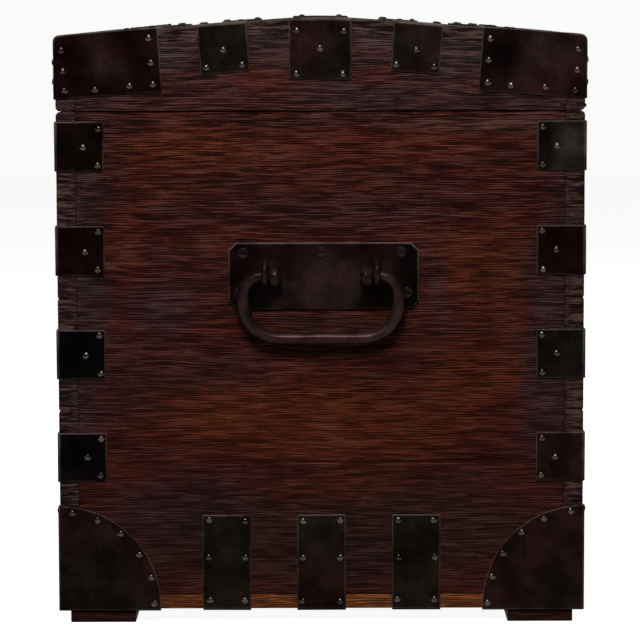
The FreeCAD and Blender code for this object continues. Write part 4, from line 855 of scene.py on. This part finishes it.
class Bar:
    """A round bar drawn out ring by ring."""

    def __init__(self, start, radius, sides=14):
        self.bm = bmesh.new()
        stand = Matrix.Translation(start) @ Matrix.Rotation(math.radians(90), 4, "X")
        bmesh.ops.create_circle(self.bm, segments=sides, radius=radius, matrix=stand)
        self.ring = self.bm.verts[:]
        self.radius = radius
        bmesh.ops.edgeloop_fill(self.bm, edges=self.bm.edges[:])

    def middle(self):
        return sum((vert.co for vert in self.ring), Vector()) / len(self.ring)

    def grow(self, radius):
        """Adds a ring on the last one, and sets its radius."""
        ring = set(self.ring)
        edges = [edge for edge in self.bm.edges if set(edge.verts) <= ring]
        made = bmesh.ops.extrude_edge_only(self.bm, edges=edges)["geom"]
        self.ring = [item for item in made if isinstance(item, bmesh.types.BMVert)]
        size = radius / self.radius
        self.radius = radius
        space = Matrix.Translation(-self.middle())
        bmesh.ops.scale(self.bm, vec=(size, size, size), space=space, verts=self.ring)

    def draw_out(self, shift, steps, radius):
        """Lengthens the bar in a straight line, while it goes to a new radius."""
        first = self.radius
        for step in range(1, steps + 1):
            self.grow(first + (radius - first) * step / steps)
            bmesh.ops.translate(self.bm, vec=Vector(shift) / steps, verts=self.ring)

    def bend(self, centre, angle, steps, radius):
        """Lengthens the bar round a centre, in the plane of the chest's end."""
        first = self.radius
        turn = Matrix.Rotation(math.radians(angle) / steps, 3, "X")
        for step in range(1, steps + 1):
            self.grow(first + (radius - first) * step / steps)
            bmesh.ops.rotate(self.bm, cent=centre, matrix=turn, verts=self.ring)


def smooth_over(piece):
    smoother = piece.modifiers.new("smoother", "SUBSURF")
    smoother.levels = 1
    smoother.render_levels = 1


def make_bail(word):
    """A bail from one head round to the other. HEAD_RINGS are a head's parts from its inner end: a length, its
    steps, and the shares of the head's radius where it starts and ends."""
    low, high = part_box(f"{word}_bail")
    x = (low.x + high.x) / 2
    pivot = high.z - HEAD
    half = high.y - ROD
    grip = low.z + ROD
    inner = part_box(f"{word}_handle_eyes")[1].y - HEAD_GAP - HEAD_LONG
    reach = half - SHOULDER - inner - HEAD_LONG
    top = pivot - SHOULDER
    foot = grip + BEND
    bar = Bar((x, -inner, pivot - SAG), HEAD * HEAD_RINGS[0][2])
    for length, steps, start, end in HEAD_RINGS:
        bar.draw_out((0, -length, 0), steps, HEAD * end)
    bar.draw_out((0, -NECK, SAG), 1, ROD_END)
    bar.draw_out((0, -reach, 0), 2, ROD_END)
    bar.bend((x, SHOULDER - half, top), 90, 7, ROD * 0.97)
    bar.draw_out((0, 0, foot - top), 2, ROD)
    bar.bend((x, BEND - half, foot), 90, 8, ROD)
    bar.draw_out((0, (half - BEND) * 2, 0), 12, ROD)
    bar.bend((x, half - BEND, foot), 90, 8, ROD)
    bar.draw_out((0, 0, top - foot), 2, ROD * 0.97)
    bar.bend((x, half - SHOULDER, top), 90, 7, ROD_END)
    bar.draw_out((0, -reach, 0), 2, ROD_END)
    bar.draw_out((0, -NECK, -SAG), 1, HEAD * HEAD_RINGS[-1][3])
    for length, steps, start, end in reversed(HEAD_RINGS):
        bar.draw_out((0, -length, 0), steps, HEAD * start)
    ring = set(bar.ring)
    bmesh.ops.edgeloop_fill(bar.bm, edges=[edge for edge in bar.bm.edges if set(edge.verts) <= ring])
    bmesh.ops.recalc_face_normals(bar.bm, faces=bar.bm.faces)
    for vert in bar.bm.verts:
        ragged = abs(vert.co.y) < inner + HEAD_LONG and vert.co.z > top
        vert.co += noise.noise_vector(vert.co * BAR_MARKS) * BAR_DENT
        if ragged:
            vert.co += noise.noise_vector(vert.co * HEAD_MARKS) * HEAD_DENT
    smooth_over(
        finished(bar.bm, f"{word}_bail_forged", f"{word}_bail", forged_iron, [f"{word}_bail"])
    )


WIRE = 2.6 * MM
SWELL = 0.7 * MM
SHANK_FOOT = 3.4 * MM
SHANK_TOP = 3 * MM
EYE_MARKS = 110
EYE_DENT = 0.35 * MM


def make_eyes(word, side):
    """Two rings of wire, each on a short shank that goes through the plate."""
    low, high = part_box(f"{word}_handle_eyes")
    ring = (high.z - low.z) / 2 - WIRE
    z = (high.z + low.z) / 2
    reach = max(abs(low.x), abs(high.x)) - WIRE - ring
    neck = reach - ring - half_long
    bm = bmesh.new()
    for y in (low.y + WIRE, high.y - WIRE):
        start = Matrix.Translation((side * reach + ring, y, z))
        loop = bmesh.ops.create_circle(bm, segments=10, radius=WIRE + SWELL, matrix=start)["verts"]
        edges = list(dict.fromkeys(edge for vert in loop for edge in vert.link_edges))
        bmesh.ops.spin(
            bm,
            geom=loop + edges,
            cent=(side * reach, y, z),
            axis=(0, 1, 0),
            angle=math.tau,
            steps=28,
            use_merge=True,
        )
        shank = Matrix.Translation((side * (half_long + neck / 2), y, z))
        shank = shank @ Matrix.Rotation(math.pi / 2, 4, "Y")
        bmesh.ops.create_cone(
            bm, cap_ends=True, segments=12, radius1=SHANK_FOOT, radius2=SHANK_TOP, depth=neck, matrix=shank
        )
    bmesh.ops.recalc_face_normals(bm, faces=bm.faces)
    for vert in bm.verts:
        vert.co += noise.noise_vector(vert.co * EYE_MARKS) * EYE_DENT
    smooth_over(
        finished(bm, f"{word}_eyes_forged", "carcass", forged_iron, [f"{word}_handle_eyes"])
    )


SCREW = 5 * MM
SCREW_RISE = 1.3 * MM
SCREW_SLOT = 0.75 * MM
SLOT_DEPTH = 0.9 * MM
SLOT_FLOOR = 0.2 * MM
SCREW_SUNK = 0.4 * MM
SCREW_SLANT = (-25, 15)
SCREW_PLACES = ((-73, 21), (-1.5, 21.5), (70.5, 22), (-77, -15), (76, -15))
screw_iron = iron("screw_iron", tone(22, 12, 12), specular=0.08, rough=(0.24, 0.34), dent=0.1 * MM)


def slotted_head():
    """One screw head on the origin, its slot along X."""
    bm = bmesh.new()
    stand = Matrix.Translation((0, 0, SCREW_RISE / 2))
    bmesh.ops.create_cone(
        bm, cap_ends=True, segments=24, radius1=SCREW, radius2=SCREW, depth=SCREW_RISE, matrix=stand
    )
    top = [edge for edge in bm.edges if all(vert.co.z > SCREW_RISE / 2 for vert in edge.verts)]
    round_off(bm, top, 0.5 * MM, 3)
    for edge_of_slot in (-SCREW_SLOT, SCREW_SLOT):
        everything = bm.verts[:] + bm.edges[:] + bm.faces[:]
        side_of_slot = (0, edge_of_slot, 0)
        bmesh.ops.bisect_plane(bm, geom=everything, dist=1e-7, plane_co=side_of_slot, plane_no=(0, 1, 0))
    slot = [
        face
        for face in bm.faces
        if abs(face.calc_center_median().y) < SCREW_SLOT * 0.99 and face.normal.z > 0.3
    ]
    sunk = bmesh.ops.extrude_face_region(bm, geom=slot)["geom"]
    bmesh.ops.delete(bm, geom=slot, context="FACES")
    sunk = [item for item in sunk if isinstance(item, bmesh.types.BMVert)]
    bmesh.ops.translate(bm, vec=(0, 0, -SLOT_DEPTH), verts=sunk)
    for vert in sunk:
        vert.co.z = max(vert.co.z, SLOT_FLOOR)
    mesh = bpy.data.meshes.new("screw_head")
    bm.to_mesh(mesh)
    bm.free()
    return mesh


screw_head = slotted_head()
screws = bmesh.new()
for word, side in (("left", -1), ("right", 1)):
    low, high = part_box(f"{word}_handle_plate")
    middle = (low + high) / 2
    forge(f"{word}_handle_plate", "carcass", black_iron, HANDLE_PLATE, corner=0, rim=0.8 * MM)
    make_eyes(word, side)
    make_bail(word)
    for across, up in SCREW_PLACES:
        away = side * (half_long + HANDLE_PLATE - SCREW_SUNK)
        place = Vector((away, middle.y + across * MM, middle.z + up * MM))
        turn = Vector((side, 0, 0)).to_track_quat("Z", "Y").to_matrix().to_4x4()
        slant = Matrix.Rotation(math.radians(draw.uniform(*SCREW_SLANT)), 4, "Z")
        known = len(screws.verts)
        screws.from_mesh(screw_head)
        screws.verts.ensure_lookup_table()
        for vert in screws.verts[known:]:
            vert.co = Matrix.Translation(place) @ turn @ slant @ vert.co
finished(screws, "handle_screw_heads", "carcass", screw_iron, ["handle_screws"], smooth=35)

# The hinges: two wrought leaves each, rolled round a pin behind the chest. They, the lock and the escutcheon
# are blacked iron and filed steel, and keep the shapes that they were cut to.
fitting_iron = iron("fitting_iron", tone(20, 13, 11), specular=0.05)
lock_steel = iron("lock_steel", tone(120, 112, 104), metallic=1.0, specular=0.5, dent=0.1 * MM)
FITTINGS = {
    fitting_iron: ("hinge_body_leaves", "hinge_lid_leaves", "hinge_pins", "escutcheon", "escutcheon_cover"),
    lock_steel: ("lock_case", "lock_link_plate", "lock_bolt"),
}
for material, nodes in FITTINGS.items():
    for node in nodes:
        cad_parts[node].data.materials.clear()
        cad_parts[node].data.materials.append(material)

# The tray: thin oiled hardwood, with cross-halved dividers and hand holes in its ends, on two cleats. Its
# bays and the well under it are lined with green baize.
tray_wood = oak("tray_wood", GRAIN_X, bodies=(tone(112, 60, 34), tone(92, 46, 26)), light=0.9)
TRAY_ROUND = 0.7 * MM
for node, body, slot in (
    ("tray_cleats", "carcass", "oak"),
    ("tray_sides", "tray", "tray_wood"),
    ("tray_floor", "tray", "tray_wood"),
    ("tray_dividers", "tray", "tray_wood"),
):
    bm = copy_of(node)
    round_off(bm, ridges_of(bm, 3 * MM, 60), TRAY_ROUND, 2)
    finished(bm, f"{node}_wood", body, tray_wood, [node])

baize = Finish("baize", specular=0.1)
nap = baize.speckle(baize.place, 1500.0, 2.0).outputs["Fac"]
wear = baize.speckle(baize.place, 12.0, 3.0).outputs["Fac"]
green = baize.mix(baize.rise(wear, 0.35, 0.65), tone(20, 46, 32), tone(32, 60, 42))
baize.connect("Base Color", baize.shade(green, baize.rise(nap, 0.3, 0.7, 0.7, 1.3)))
baize.shader.inputs["Roughness"].default_value = 0.95
baize.shader.inputs["Sheen Weight"].default_value = 0.3
baize.relief(nap, 0.4 * MM)


def cloths_of(node):
    """The boxes of the separate cloths in a CAD node."""
    bm = bmesh.new()
    bm.from_mesh(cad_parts[node].data)
    bmesh.ops.remove_doubles(bm, verts=bm.verts, dist=1e-6)
    left = set(bm.verts)
    boxes = []
    while left:
        front = [left.pop()]
        island = list(front)
        while front:
            for edge in front.pop().link_edges:
                for vert in edge.verts:
                    if vert in left:
                        left.remove(vert)
                        front.append(vert)
                        island.append(vert)
        lows = Vector([min(vert.co[axis] for vert in island) for axis in range(3)])
        highs = Vector([max(vert.co[axis] for vert in island) for axis in range(3)])
        boxes.append((lows, highs))
    bm.free()
    return sorted(boxes, key=lambda box: tuple(round(part, 4) for part in box[0]))


CLOTH_STEP = 12 * MM
CLOTH_THICK = 0.9 * MM
CLOTH_WAVE = 0.25 * MM
CLOTH_GAP = 0.02 * MM


def lay_cloth(name, body, low, high, node):
    """A cloth glued down in a box, with its nap and edges a little uneven."""
    bm = bmesh.new()
    spans = high - low
    squares = [max(6, round(span / CLOTH_STEP)) for span in spans]
    bmesh.ops.create_grid(bm, x_segments=squares[0], y_segments=squares[1], size=0.5)
    bmesh.ops.scale(bm, vec=(spans.x, spans.y, 1), verts=bm.verts)
    bmesh.ops.translate(bm, vec=((low.x + high.x) / 2, (low.y + high.y) / 2, high.z), verts=bm.verts)
    for vert in bm.verts:
        vert.co.z -= CLOTH_WAVE * (0.5 + noise.noise(vert.co * 40))
    skin = bm.verts[:] + bm.edges[:] + bm.faces[:]
    bmesh.ops.solidify(bm, geom=skin, thickness=CLOTH_THICK)
    bmesh.ops.recalc_face_normals(bm, faces=bm.faces)
    for vert in bm.verts:
        vert.co.z = max(vert.co.z, low.z + CLOTH_GAP)
    piece = finished(bm, name, body, baize.material, [node])


for index, (low, high) in enumerate(cloths_of("tray_lining")):
    lay_cloth(f"tray_cloth_{index + 1}", "tray", low, high, "tray_lining")
for low, high in cloths_of("well_lining"):
    lay_cloth("well_cloth", "carcass", low, high, "well_lining")
